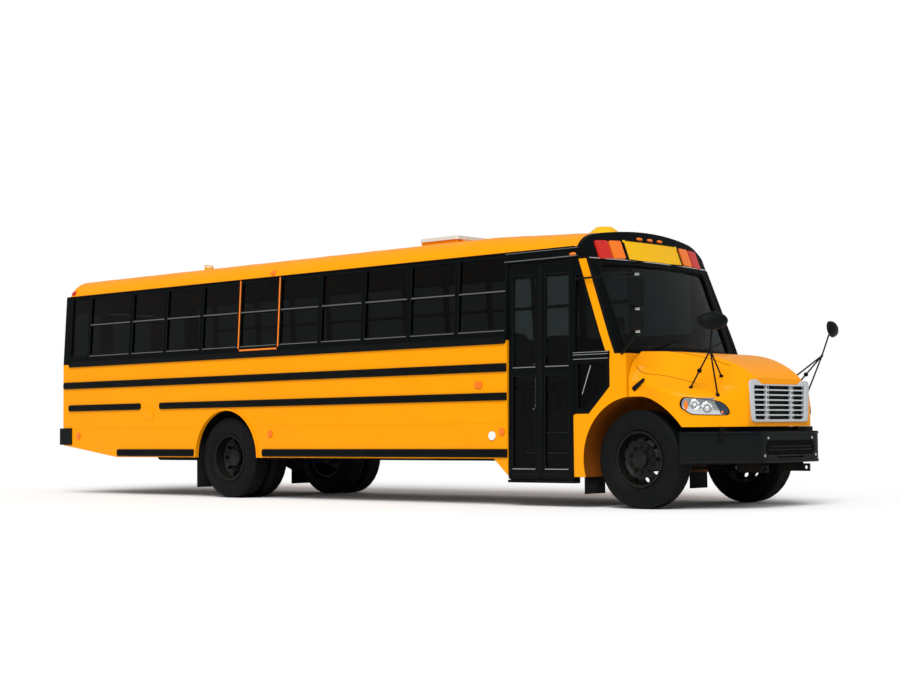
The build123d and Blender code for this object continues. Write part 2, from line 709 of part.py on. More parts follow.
def panel_outline(front, low_front):
    """Side panel in side view, with its raised tail."""
    points = [
        (BODY_REAR, SILL),
        (BODY_REAR, SKIRT + TAIL_RISE),
        (BODY_REAR + TAIL_LENGTH, SKIRT),
        (front - GUSSET, SKIRT),
        (front, low_front),
        (front, SILL),
    ]
    corner_outline(points)
    with Locations((REAR_AXLE, SKIRT)):
        Circle(REAR_ARCH_RADIUS, mode=Mode.SUBTRACT)


def arch_lip():
    """Flange round the rear wheel arch in side view."""
    with Locations((REAR_AXLE, SKIRT)):
        Circle(REAR_ARCH_RADIUS + ARCH_LIP)
        Circle(REAR_ARCH_RADIUS, mode=Mode.SUBTRACT)
    with Locations((REAR_AXLE, SKIRT - REAR_ARCH_RADIUS)):
        Rectangle(4 * REAR_ARCH_RADIUS, 2 * REAR_ARCH_RADIUS, mode=Mode.SUBTRACT)


for name, side, front, low in (
    ("left_side_panel", 1, DOOR_FRONT, SKIRT),
    ("right_side_panel", -1, DOOR_REAR, GUSSET_LOW),
):
    with BuildPart() as lip:
        side_slab(side, -ARCH_PROUD, WALL / 2)
        keep_outline(arch_lip)
    with BuildPart() as side_panel:
        side_slab(side, 0, WALL)
        keep_outline(panel_outline, front, low)
        add(lip.part)
    write(side_panel.part, name)

# Window bands above the sill, black, with every pane cut out
for name, side in (("left_window_band", 1), ("right_window_band", -1)):
    with BuildPart() as quarter:
        side_slab(side, 0, WALL)
        keep_outline(quarter_window)
        with BuildSketch(Plane.XZ) as hole:
            quarter_window(MULLION / 2)
        extrude(hole.sketch, amount=BODY_WIDTH, both=True, mode=Mode.SUBTRACT)
    with BuildPart() as lower_quarter:
        side_slab(side, 0, WALL)
        keep_outline(quarter_outline)
        with BuildSketch(Plane.XZ) as hole:
            quarter_outline(MULLION)
        extrude(hole.sketch, amount=BODY_WIDTH, both=True, mode=Mode.SUBTRACT)
    with BuildPart() as band:
        side_slab(side, 0, WALL)
        if side > 0:
            keep_outline(block_outline, BODY_REAR, DOOR_FRONT, SILL, EAVE)
        else:
            keep_outline(block_outline, BODY_REAR, DOOR_REAR, SILL, EAVE)
        with BuildSketch(Plane.XZ) as holes:
            pane_outlines(SIDE_PANES)
            if side > 0:
                pane_outlines([DRIVER_PANE])
        extrude(holes.sketch, amount=BODY_WIDTH, both=True, mode=Mode.SUBTRACT)
    with BuildPart() as header:
        side_slab(side, 0, WALL)
        keep_outline(header_outline, side)
        cut_front(CAP_SKIN)
    with BuildPart() as window_band:
        add(band.part)
        add(header.part)
        add(quarter.part)
        add(lower_quarter.part)
    write(window_band.part, name)

# Roof shell with a rounded rear edge and a raised coaming for the hatch
HATCH_X = at_front(3620.0)
HATCH_SIZE = 600.0
COAMING = 40.0
COAMING_TOP = CROWN + 55.0
HATCH_HOLE = HATCH_SIZE - 2 * COAMING
LID_SKIN = 45.0
LID_OVERLAP = 25.0
LID_SIZE = HATCH_SIZE + 2 * LID_OVERLAP
LID_BASE = COAMING_TOP + RUNNING_GAP
# Hinge of the lid: two barrels, each between two ears of the coaming
LID_HINGE_X = HATCH_X + LID_SIZE / 2 + 20.0
LID_HINGE_Z = COAMING_TOP - 12.0
LID_HINGE_Y = 180.0
LID_BARREL = 11.0
LID_BARREL_HALF = 25.0
LID_PIN = 5.0
LID_EAR = 6.0
LID_PLAY = 2.0
LID_LUG = 12.0
with BuildPart() as roof:
    roof_volume(0)
    rear_edges = roof.faces().sort_by(Axis.X)[0].edges()
    fillet(rear_edges.filter_by(lambda edge: edge.center().Z > EAVE + 1), REAR_ROUND)
    roof_volume(ROOF_SKIN, mode=Mode.SUBTRACT)
    cut_front(CAP_SKIN)
    with BuildSketch(Plane.XY.offset(CROWN - ROOF_SKIN)):
        with Locations((HATCH_X, 0)):
            Rectangle(HATCH_SIZE, HATCH_SIZE)
    extrude(amount=COAMING_TOP - CROWN + ROOF_SKIN)
    with BuildSketch(Plane.XY.offset(EAVE)):
        with Locations((HATCH_X, 0)):
            Rectangle(HATCH_HOLE, HATCH_HOLE)
    extrude(amount=CROWN, mode=Mode.SUBTRACT)
    for side in (1, -1):
        inner = LID_BARREL_HALF + LID_PLAY
        outer = inner + LID_EAR
        coaming_x = HATCH_X + HATCH_SIZE / 2 - LID_EAR
        for end in (1, -1):
            bar(
                (coaming_x, side * LID_HINGE_Y + end * inner, LID_HINGE_Z - LID_BARREL),
                (LID_HINGE_X + LID_BARREL, side * LID_HINGE_Y + end * outer, LID_HINGE_Z + LID_BARREL),
            )
        rod(
            (LID_HINGE_X, side * LID_HINGE_Y - outer, LID_HINGE_Z),
            (LID_HINGE_X, side * LID_HINGE_Y + outer, LID_HINGE_Z),
            LID_PIN,
        )
write(roof.part, "roof")

# Roof hatch lid, hinged ahead of its front edge
with BuildPart() as roof_hatch:
    with BuildSketch(Plane.XY.offset(LID_BASE)):
        with Locations((HATCH_X, 0)):
            RectangleRounded(LID_SIZE, LID_SIZE, 50)
    extrude(amount=LID_SKIN, taper=12)
    for side in (1, -1):
        near = side * LID_HINGE_Y - LID_BARREL_HALF
        far = side * LID_HINGE_Y + LID_BARREL_HALF
        bar(
            (HATCH_X + LID_SIZE / 2 - LID_LUG, near, LID_BASE),
            (LID_HINGE_X + LID_BARREL, far, LID_BASE + LID_LUG),
        )
        bar(
            (LID_HINGE_X - LID_BARREL, near, LID_HINGE_Z),
            (LID_HINGE_X + LID_BARREL, far, LID_BASE + LID_LUG),
        )
        rod((LID_HINGE_X, near, LID_HINGE_Z), (LID_HINGE_X, far, LID_HINGE_Z), LID_BARREL)
        with Locations((LID_HINGE_X, side * LID_HINGE_Y, LID_HINGE_Z)):
            Cylinder(LID_PIN + RUNNING_GAP, 3 * LID_BARREL_HALF, rotation=(90, 0, 0), mode=Mode.SUBTRACT)
write(roof_hatch.part, "roof_hatch")

# Rear wall with the emergency doorway and two fixed windows
EXIT_HALF = 470.0
EXIT_BOTTOM = FLOOR_TOP + 20.0
EXIT_TOP = 2660.0
BACK_PANE_INNER = EXIT_HALF + 110.0
BACK_PANE_OUTER = HALF - BAND_LEAN - 130.0
BACK_PANE_LOW = 1960.0
BACK_PANE_HIGH = 2640.0
EXIT_PLAY = 8.0
HINGE_RADIUS = 14.0
HINGE_Y = -EXIT_HALF - 10.0
HINGE_X = BODY_REAR - HINGE_RADIUS - 2.0
HINGE_HEIGHTS = (EXIT_BOTTOM + 250.0, (EXIT_BOTTOM + EXIT_TOP) / 2, EXIT_TOP - 250.0)
HINGE_LENGTH = 120.0
HINGE_EAR = 25.0
BACK = Plane(origin=(BODY_REAR, 0, 0), x_dir=(0, 1, 0), z_dir=(1, 0, 0))


def back_panes(shrink=0.0):
    """Fixed rear windows beside the emergency door, in rear view."""
    for side in (1, -1):
        pane_y = side * (BACK_PANE_INNER + BACK_PANE_OUTER) / 2
        with Locations((pane_y, (BACK_PANE_LOW + BACK_PANE_HIGH) / 2)):
            RectangleRounded(
                BACK_PANE_OUTER - BACK_PANE_INNER - 2 * shrink,
                BACK_PANE_HIGH - BACK_PANE_LOW - 2 * shrink,
                PANE_ROUND + 20 - shrink,
            )


with BuildPart() as rear_wall:
    with BuildSketch(BACK) as wall:
        with BuildLine():
            Polyline(
                (-HALF + WALL, SKIRT + TAIL_RISE),
                (HALF - WALL, SKIRT + TAIL_RISE),
                (HALF - WALL, SILL),
                (HALF - WALL - BAND_LEAN, EAVE),
                (-HALF + WALL + BAND_LEAN, EAVE),
                (-HALF + WALL, SILL),
                close=True,
            )
        make_face()
        with Locations((0, (EXIT_BOTTOM + EXIT_TOP) / 2)):
            RectangleRounded(2 * EXIT_HALF, EXIT_TOP - EXIT_BOTTOM, 60, mode=Mode.SUBTRACT)
    extrude(amount=WALL)
    with BuildSketch(BACK) as panes:
        back_panes()
    extrude(panes.sketch, amount=WALL, mode=Mode.SUBTRACT)
    for height in HINGE_HEIGHTS:
        for up in (1, -1):
            near = height + up * (HINGE_LENGTH / 2 + RUNNING_GAP)
            bar(
                (HINGE_X - HINGE_RADIUS, HINGE_Y - 2 * HINGE_RADIUS, near),
                (BODY_REAR, HINGE_Y + HINGE_RADIUS / 2, near + up * HINGE_EAR),
            )
        rod(
            (HINGE_X, HINGE_Y, height - HINGE_LENGTH / 2 - HINGE_EAR),
            (HINGE_X, HINGE_Y, height + HINGE_LENGTH / 2 + HINGE_EAR),
            HINGE_RADIUS / 2,
        )
write(rear_wall.part, "rear_wall")

# Emergency door, hinged on the right, with a tall window and its hinge barrel
EXIT_PANE = (EXIT_HALF - 110.0, 1900.0, EXIT_TOP - 90.0)
EXIT_LOWER = (EXIT_HALF - 110.0, EXIT_BOTTOM + 110.0, 1680.0)


def exit_panes(shrink=0.0):
    """Windows of the emergency door, in rear view."""
    for half, low, high in (EXIT_PANE, EXIT_LOWER):
        with Locations((0, (low + high) / 2)):
            RectangleRounded(2 * (half - shrink), high - low - 2 * shrink, PANE_ROUND + 20 - shrink)


with BuildPart() as emergency_door:
    with BuildSketch(BACK) as leaf:
        with Locations((0, (EXIT_BOTTOM + EXIT_TOP) / 2)):
            RectangleRounded(2 * (EXIT_HALF - EXIT_PLAY), EXIT_TOP - EXIT_BOTTOM - 2 * EXIT_PLAY, 55)
    extrude(leaf.sketch, amount=WALL)
    with BuildSketch(BACK) as panes:
        exit_panes()
    extrude(panes.sketch, amount=WALL, mode=Mode.SUBTRACT)
    for height in HINGE_HEIGHTS:
        bar(
            (HINGE_X - 6, HINGE_Y, height - HINGE_LENGTH / 2),
            (HINGE_X + 6, -EXIT_HALF + 60, height + HINGE_LENGTH / 2),
        )
        bar(
            (HINGE_X - 6, -EXIT_HALF + 30, height - HINGE_LENGTH / 2),
            (BODY_REAR, -EXIT_HALF + 60, height + HINGE_LENGTH / 2),
        )
        with Locations((HINGE_X, HINGE_Y, height)):
            Cylinder(HINGE_RADIUS, HINGE_LENGTH)
            Cylinder(HINGE_RADIUS / 2 + RUNNING_GAP, HINGE_LENGTH, mode=Mode.SUBTRACT)
write(emergency_door.part, "emergency_door")

with BuildPart() as emergency_glass:
    with BuildSketch(BACK.offset(PANE_INSET)) as panes:
        exit_panes(RUNNING_GAP)
    extrude(panes.sketch, amount=PANE_SKIN)
write(emergency_glass.part, "emergency_glass")

# Floor on cross sills, wheel housings and the entrance step well
STEP_COUNT = 3
STEP_LOW = 360.0
STEP_RUN = 240.0
STEP_SKIN = 30.0
STEP_BACK = 15.0
STEP_RISE = (FLOOR_TOP - STEP_LOW) / STEP_COUNT
WELL_DEPTH = STEP_RUN * STEP_COUNT
HOUSING_TOP = SKIRT + REAR_ARCH_RADIUS + 60.0
HOUSING_INNER = DUAL_TRACK / 2 - DUAL_SPACING / 2 - TYRE_WIDTH / 2 - 40.0
HOUSING_HALF = REAR_ARCH_RADIUS + 10.0
HOUSING_SKIN = 20.0
INSIDE = HALF - WALL
FLOOR_FRONT = POST_FRONT - 30.0
WELL_INNER = -INSIDE + WELL_DEPTH
with BuildPart() as floor:
    bar((BODY_REAR + WALL, -INSIDE, FLOOR_TOP - FLOOR_SKIN), (FLOOR_FRONT, INSIDE, FLOOR_TOP))
    for i in range(SILL_COUNT):
        place = BODY_REAR + 250 + i * (DOOR_REAR - BODY_REAR - 500) / (SILL_COUNT - 1)
        bar(
            (place - SILL_WIDTH / 2, -INSIDE, RAIL_TOP),
            (place + SILL_WIDTH / 2, INSIDE, FLOOR_TOP - FLOOR_SKIN),
        )
    for side in (1, -1):
        bar(
            (REAR_AXLE - HOUSING_HALF - HOUSING_SKIN, side * (HOUSING_INNER - HOUSING_SKIN), RAIL_TOP),
            (REAR_AXLE + HOUSING_HALF + HOUSING_SKIN, side * INSIDE, HOUSING_TOP + HOUSING_SKIN),
        )
    for side in (1, -1):
        bar(
            (REAR_AXLE - HOUSING_HALF, side * HOUSING_INNER, RAIL_TOP - 50),
            (REAR_AXLE + HOUSING_HALF, side * (INSIDE + 1), HOUSING_TOP),
            mode=Mode.SUBTRACT,
        )
    bar(
        (DOOR_REAR, -INSIDE - 1, RAIL_TOP - 50),
        (DOOR_FRONT, WELL_INNER, FLOOR_TOP + 1),
        mode=Mode.SUBTRACT,
    )
    for i in range(STEP_COUNT):
        tread_z = STEP_LOW + i * STEP_RISE
        tread_y = -INSIDE + i * STEP_RUN
        edge_y = tread_y if i else tread_y + STEP_BACK
        bar((DOOR_REAR, edge_y, tread_z - STEP_SKIN), (DOOR_FRONT, tread_y + STEP_RUN, tread_z))
        bar(
            (DOOR_REAR, tread_y + STEP_RUN - STEP_SKIN, tread_z - STEP_SKIN),
            (DOOR_FRONT, tread_y + STEP_RUN, tread_z + STEP_RISE),
        )
    for place in (DOOR_REAR - STEP_SKIN, DOOR_FRONT):
        bar((place, -INSIDE, STEP_LOW - STEP_SKIN), (place + STEP_SKIN, WELL_INNER, FLOOR_TOP - FLOOR_SKIN))
write(floor.part, "floor")

# Front cap above the windshield and the windshield surround, black
GLASS_HALF = 1000.0
GLASS_LOW = 1745.0
GLASS_HIGH = CAP_BOTTOM - 45.0
GLASS_ROUND = 90.0


def rake_y(z):
    """Height on the raked front, measured along its face from the glass foot."""
    return (z - GLASS_FOOT_Z) * SLANT


def on_front(half, low, high, round_radius, y=0.0):
    """Rounded rectangle on the raked front, given by its real heights."""
    with Locations((y, (rake_y(low) + rake_y(high)) / 2)):
        RectangleRounded(2 * half, rake_y(high) - rake_y(low), round_radius)


def body_volume(inset):
    """Closed body section from the cowl top to the roof, inset from the skin."""
    with BuildSketch(Plane.YZ.offset(DOOR_REAR)) as section:
        with BuildLine():
            Polyline(
                (-HALF + inset, COWL_TOP),
                (HALF - inset, COWL_TOP),
                (HALF - inset, SILL),
                (HALF - inset - BAND_LEAN, EAVE),
                (-HALF + inset + BAND_LEAN, EAVE),
                (-HALF + inset, SILL),
                close=True,
            )
        make_face()
    extrude(section.sketch, amount=COWL_FRONT + 300 - DOOR_REAR)


with BuildPart() as cap_room:
    body_volume(0)
    roof_volume(0)
with BuildPart() as surround:
    body_volume(PILLAR_SKIN)
    front_skin(0, CAP_SKIN, mode=Mode.INTERSECT)
    bar((DOOR_REAR, -HALF, CAP_BOTTOM), (BUMPER_FRONT, HALF, CROWN), mode=Mode.SUBTRACT)
with BuildPart() as front_cap:
    add(cap_room.part)
    front_skin(0, CAP_SKIN, mode=Mode.INTERSECT)
    bar((DOOR_REAR, -HALF, 0), (BUMPER_FRONT, HALF, CAP_BOTTOM), mode=Mode.SUBTRACT)
    add(surround.part)
    with BuildSketch(FRONT_FACE) as hole:
        on_front(GLASS_HALF, GLASS_LOW, GLASS_HIGH, GLASS_ROUND)
    extrude(hole.sketch, amount=600, both=True, mode=Mode.SUBTRACT)
write(front_cap.part, "front_cap")

with BuildPart() as windshield:
    front_skin(PANE_INSET, PANE_INSET + PANE_SKIN)
    with BuildSketch(FRONT_FACE) as pane:
        on_front(GLASS_HALF - RUNNING_GAP, GLASS_LOW + RUNNING_GAP, GLASS_HIGH - RUNNING_GAP, GLASS_ROUND)
    extrude(pane.sketch, amount=600, both=True, mode=Mode.INTERSECT)
write(windshield.part, "windshield")

# Cowl: pillars, quarter posts, firewall and the rear halves of the front wheel arches
POST_BOTTOM = 336.0
SPLASH_SKIN = 25.0
SPLASH_INNER = 560.0
FIREWALL_SKIN = 40.0
SHELF_DEPTH = 330.0


def post_outline():
    """Yellow quarter post in side view, behind the front wheel arch."""
    corner_outline(
        [
            (DOOR_FRONT, POST_BOTTOM),
            (COWL_FRONT, POST_BOTTOM),
            (COWL_FRONT, COWL_TOP),
            (DOOR_FRONT, COWL_TOP),
        ]
    )
    with Locations((FRONT_AXLE, AXLE_Z)):
        Circle(FRONT_ARCH_RADIUS, mode=Mode.SUBTRACT)
    quarter_outline(mode=Mode.SUBTRACT)


def pillar_outline():
    """Windshield pillar in side view."""
    corner_outline(
        [
            (pillar_edge(COWL_TOP) - PILLAR_WIDTH, COWL_TOP),
            (pillar_edge(COWL_TOP), COWL_TOP),
            (pillar_edge(CAP_BOTTOM), CAP_BOTTOM),
            (pillar_edge(CAP_BOTTOM) - PILLAR_WIDTH, CAP_BOTTOM),
        ]
    )


COWL_PIECES = []
for side in (1, -1):
    with BuildPart() as post:
        side_slab(side, 0, WALL)
        keep_outline(post_outline)
    with BuildPart() as pillar:
        side_slab(side, 0, PILLAR_SKIN)
        keep_outline(pillar_outline)
    COWL_PIECES.extend((post.part, pillar.part))
with BuildPart() as cowl:
    for piece in COWL_PIECES:
        add(piece)
    bar((COWL_FRONT - FIREWALL_SKIN, -INSIDE, RAIL_TOP + 40), (COWL_FRONT, INSIDE, COWL_TOP))
    for side in (1, -1):
        bar(
            (COWL_FRONT - FIREWALL_SKIN, side * SPLASH_INNER, 0),
            (COWL_FRONT, side * INSIDE, AXLE_Z + FRONT_ARCH_RADIUS),
            mode=Mode.SUBTRACT,
        )
    for side in (1, -1):
        with BuildSketch(Plane.XZ.offset(-side * SPLASH_INNER)) as ring:
            with Locations((FRONT_AXLE, AXLE_Z)):
                Circle(FRONT_ARCH_RADIUS + SPLASH_SKIN)
                Circle(FRONT_ARCH_RADIUS, mode=Mode.SUBTRACT)
            with Locations((FRONT_AXLE, POST_BOTTOM - 1000)):
                Rectangle(4000, 2000, mode=Mode.SUBTRACT)
            with Locations((COWL_FRONT + 1000, AXLE_Z)):
                Rectangle(2000, 4000, mode=Mode.SUBTRACT)
        extrude(ring.sketch, amount=-side * (INSIDE - SPLASH_INNER))
        bar(
            (FLOOR_FRONT, side * (SPLASH_INNER - SPLASH_SKIN), FLOOR_TOP - FLOOR_SKIN),
            (COWL_FRONT, side * SPLASH_INNER, AXLE_Z + FRONT_ARCH_RADIUS + SPLASH_SKIN),
        )
    bar((COWL_FRONT - SHELF_DEPTH, -INSIDE, COWL_TOP - FIREWALL_SKIN), (COWL_FRONT, INSIDE, COWL_TOP))
    bar(
        (FLOOR_FRONT, -SPLASH_INNER, FLOOR_TOP - FLOOR_SKIN),
        (COWL_FRONT, SPLASH_INNER, FLOOR_TOP),
    )
write(cowl.part, "cowl")

# Glass of the body: side panes, quarter panes and rear panes
GLASS_PIECES = []
for side in (1, -1):
    with BuildPart() as pane_row:
        side_slab(side, PANE_INSET, PANE_INSET + PANE_SKIN)
        with BuildSketch(Plane.XZ) as outlines:
            pane_outlines(SIDE_PANES, RUNNING_GAP)
            if side > 0:
                pane_outlines([DRIVER_PANE], RUNNING_GAP)
            quarter_window(MULLION / 2 + RUNNING_GAP)
            quarter_outline(MULLION + RUNNING_GAP)
        extrude(outlines.sketch, amount=BODY_WIDTH, both=True, mode=Mode.INTERSECT)
    GLASS_PIECES.append(pane_row.part)
with BuildPart() as body_glass:
    for piece in GLASS_PIECES:
        add(piece)
    with BuildSketch(BACK.offset(PANE_INSET)) as panes:
        back_panes(RUNNING_GAP)
    extrude(panes.sketch, amount=PANE_SKIN)
write(body_glass.part, "body_glass")

# Rub rails along both sides: columns are rear and front ends, bottom and top
RAIL_PROUD = 18.0
RAIL_TAIL = BODY_REAR + 20.0
RAIL_HEADS = {1: DOOR_FRONT - 60.0, -1: DOOR_REAR - 10.0}
FUEL_GAP = (at_front(8458.0), at_front(8032.0))
ARCH_GAP = (REAR_AXLE - REAR_ARCH_RADIUS - 30.0, REAR_AXLE + REAR_ARCH_RADIUS + 110.0)
LOW_TAIL = BODY_REAR + TAIL_LENGTH + 30.0
RAIL_PIECES = []
for side, head in RAIL_HEADS.items():
    rows = [
        (RAIL_TAIL, head, 1515.0, 1610.0),
        (RAIL_TAIL + 130, FUEL_GAP[0], 1190.0, 1278.0),
        (FUEL_GAP[1], head, 1190.0, 1278.0),
        (LOW_TAIL, ARCH_GAP[0], 545.0, 640.0),
        (ARCH_GAP[1], head, 545.0, 640.0),
        (RAIL_TAIL + 130, head, 1830.0, 1908.0),
    ]
    with BuildPart() as rails:
        side_slab(side, -RAIL_PROUD, 0)
        with BuildSketch(Plane.XZ) as outlines:
            for rear, front, low, high in rows:
                with Locations(((rear + front) / 2, (low + high) / 2)):
                    RectangleRounded(front - rear, high - low, 30)
        extrude(outlines.sketch, amount=BODY_WIDTH, both=True, mode=Mode.INTERSECT)
    RAIL_PIECES.append(rails.part)
with BuildPart() as rub_rails:
    for piece in RAIL_PIECES:
        add(piece)
write(rub_rails.part, "rub_rails")

# Passenger benches: padded cushions and backs on steel frames
SEAT_ROWS = 10
BENCH_WIDTH = 940.0
BACK_GAP = 15.0
BACK_LIFT = 40.0
CUSHION_DEPTH = 400.0
CUSHION_LOW = FLOOR_TOP + 330.0
CUSHION_SKIN = 120.0
BACK_SKIN = 90.0
BACK_TOP = FLOOR_TOP + 960.0
SEAT_FIRST = DOOR_REAR - 500.0
SEAT_LAST = BODY_REAR + 420.0
SEAT_PITCH = (SEAT_FIRST - SEAT_LAST) / (SEAT_ROWS - 1)
BENCH_OUTER = INSIDE - BAND_LEAN - 20.0
with BuildPart() as seat_pads:
    for row in range(SEAT_ROWS):
        place = SEAT_LAST + row * SEAT_PITCH
        for side in (1, -1):
            low_y = side * (BENCH_OUTER - BENCH_WIDTH)
            bar(
                (place, low_y, CUSHION_LOW),
                (place + CUSHION_DEPTH, side * BENCH_OUTER, CUSHION_LOW + CUSHION_SKIN),
            )
            bar(
                (place - BACK_SKIN - BACK_GAP, low_y, CUSHION_LOW + BACK_LIFT),
                (place - BACK_GAP, side * BENCH_OUTER, BACK_TOP),
            )
write(seat_pads.part, "seat_pads")

FRAME_BAR = 30.0
LEG_INSETS = (120.0, BENCH_WIDTH - 120.0)
LEG_PLACES = (60.0, CUSHION_DEPTH - 60.0)
SEAT_PLACES = [SEAT_LAST + row * SEAT_PITCH for row in range(SEAT_ROWS)]
FLOOR_LEGS = []
HOUSING_LEGS = []
for place in SEAT_PLACES:
    for y in [side * (BENCH_OUTER - inset) for side in (1, -1) for inset in LEG_INSETS]:
        for ahead in LEG_PLACES:
            over_wheel = abs(place + ahead - REAR_AXLE) < HOUSING_HALF + HOUSING_SKIN + FRAME_BAR / 2
            raised = over_wheel and abs(y) > HOUSING_INNER - HOUSING_SKIN - FRAME_BAR / 2
            (HOUSING_LEGS if raised else FLOOR_LEGS).append((place + ahead, y))
with BuildPart() as seat_frames:
    for foot, legs in ((FLOOR_TOP, FLOOR_LEGS), (HOUSING_TOP + HOUSING_SKIN, HOUSING_LEGS)):
        with BuildSketch(Plane.XY.offset(foot)) as feet:
            with Locations(*legs):
                Rectangle(FRAME_BAR, FRAME_BAR)
        extrude(feet.sketch, amount=CUSHION_LOW - foot)
    with BuildSketch(Plane.XY.offset(CUSHION_LOW - FRAME_BAR)) as bearers:
        for place in SEAT_PLACES:
            for side in (1, -1):
                for inset in LEG_INSETS:
                    with Locations((place + (CUSHION_DEPTH - BACK_SKIN) / 2, side * (BENCH_OUTER - inset))):
                        Rectangle(CUSHION_DEPTH + BACK_SKIN, FRAME_BAR)
                with Locations((place + LEG_PLACES[0], side * (BENCH_OUTER - BENCH_WIDTH / 2))):
                    Rectangle(FRAME_BAR, LEG_INSETS[1] - LEG_INSETS[0])
    extrude(bearers.sketch, amount=FRAME_BAR)
    with BuildSketch(Plane.XY.offset(CUSHION_LOW)) as stubs:
        for place in SEAT_PLACES:
            for side in (1, -1):
                for inset in LEG_INSETS:
                    with Locations((place - BACK_GAP - BACK_SKIN / 2, side * (BENCH_OUTER - inset))):
                        Rectangle(FRAME_BAR, FRAME_BAR)
    extrude(stubs.sketch, amount=BACK_LIFT)
write(seat_frames.part, "seat_frames")

# Driver seat, dashboard, steering column and wheel
DRIVER_X = at_front(1250.0)
DRIVER_Y = 560.0
with BuildPart() as driver_seat:
    bar((DRIVER_X - 170, DRIVER_Y - 170, FLOOR_TOP), (DRIVER_X + 170, DRIVER_Y + 170, FLOOR_TOP + 330))
    bar((DRIVER_X - 240, DRIVER_Y - 250, FLOOR_TOP + 330), (DRIVER_X + 250, DRIVER_Y + 250, FLOOR_TOP + 450))
    bar((DRIVER_X - 330, DRIVER_Y - 240, FLOOR_TOP + 330), (DRIVER_X - 220, DRIVER_Y + 240, FLOOR_TOP + 1150))
write(driver_seat.part, "driver_seat")

DASH_REAR = at_front(560.0)
DASH_TOP = COWL_TOP - FIREWALL_SKIN
with BuildPart() as dashboard:
    with BuildSketch(Plane.XZ.offset(-INSIDE + 40)):
        with BuildLine():
            Polyline(
                (COWL_FRONT - FIREWALL_SKIN, DASH_TOP),
                (DASH_REAR + 60, DASH_TOP),
                (DASH_REAR, DASH_TOP - 80),
                (DASH_REAR + 40, DASH_TOP - 330),
                (COWL_FRONT - FIREWALL_SKIN, DASH_TOP - 330),
                close=True,
            )
        make_face()
    extrude(amount=2 * (INSIDE - 40))
write(dashboard.part, "dashboard")

WHEEL_X = at_front(760.0)
WHEEL_Z = 1760.0
WHEEL_RING = 215.0
COLUMN_TILT = 30.0
COLUMN = Vector(sin(radians(COLUMN_TILT)), 0, -cos(radians(COLUMN_TILT)))
WHEEL_CENTRE = Vector(WHEEL_X, DRIVER_Y, WHEEL_Z)
WHEEL_PLANE = Plane(origin=WHEEL_CENTRE, x_dir=(0, 1, 0), z_dir=COLUMN)
with BuildPart() as steering_wheel:
    with BuildSketch(Plane(origin=WHEEL_CENTRE, x_dir=(0, 1, 0), z_dir=WHEEL_PLANE.y_dir)) as ring:
        with Locations((WHEEL_RING, 0)):
            Circle(16)
    revolve(ring.sketch, axis=Axis(WHEEL_CENTRE, COLUMN))
    with BuildSketch(WHEEL_PLANE) as spokes:
        Circle(50)
        with PolarLocations(0, 3, start_angle=90):
            with Locations((WHEEL_RING / 2, 0)):
                Rectangle(WHEEL_RING, 34)
    extrude(spokes.sketch, amount=16)
    with BuildSketch(WHEEL_PLANE) as column:
        Circle(34)
    extrude(column.sketch, amount=500)
    add(dashboard.part, mode=Mode.SUBTRACT)
write(steering_wheel.part, "steering_wheel")

# Front bumper: flat in the middle, swept back at the corners, with a centre opening
BUMPER_SKIN = 70.0
BUMPER_FLAT = 600.0
BUMPER_END_X = FRONT_AXLE + 570.0
BUMPER_END_Y = HALF - 30.0
BUMPER_SLOT = (560.0, 150.0)
with BuildPart() as front_bumper:
    with BuildSketch(Plane.XY.offset(BUMPER_LOW)) as plan:
        with BuildLine() as path:
            FilletPolyline(
                (BUMPER_END_X, -BUMPER_END_Y),
                (BUMPER_FRONT, -BUMPER_FLAT),
                (BUMPER_FRONT, BUMPER_FLAT),
                (BUMPER_END_X, BUMPER_END_Y),
                radius=220,
            )
            offset(amount=BUMPER_SKIN, side=Side.LEFT, closed=True)
        make_face()
    extrude(amount=BUMPER_HIGH - BUMPER_LOW)
    with BuildSketch(Plane.YZ.offset(BUMPER_FRONT + 10)) as slot:
        with Locations((0, (BUMPER_LOW + BUMPER_HIGH) / 2 - 40)):
            RectangleRounded(*BUMPER_SLOT, 40)
    extrude(slot.sketch, amount=-BUMPER_SKIN - 20, mode=Mode.SUBTRACT)
write(front_bumper.part, "front_bumper")

# Rear bumper, wrapped round both corners
TAIL_LOW = 705.0
TAIL_HIGH = 945.0
TAIL_WRAP = 380.0
TAIL_SKIN = 20.0
with BuildPart() as rear_bumper:
    with BuildSketch(Plane.XY.offset(TAIL_LOW)) as plan:
        with Locations((BODY_REAR - REAR_BUMPER_DEPTH + TAIL_WRAP / 2, 0)):
            RectangleRounded(TAIL_WRAP, BODY_WIDTH + 2 * TAIL_SKIN, 60)
        with Locations((BODY_REAR + TAIL_WRAP, 0)):
            Rectangle(2 * TAIL_WRAP, BODY_WIDTH, mode=Mode.SUBTRACT)
        with Locations((BODY_REAR + TAIL_WRAP + 200 - REAR_BUMPER_DEPTH - 60, 0)):
            Rectangle(400, 2 * BODY_WIDTH, mode=Mode.SUBTRACT)
    extrude(amount=TAIL_HIGH - TAIL_LOW)
write(rear_bumper.part, "rear_bumper")

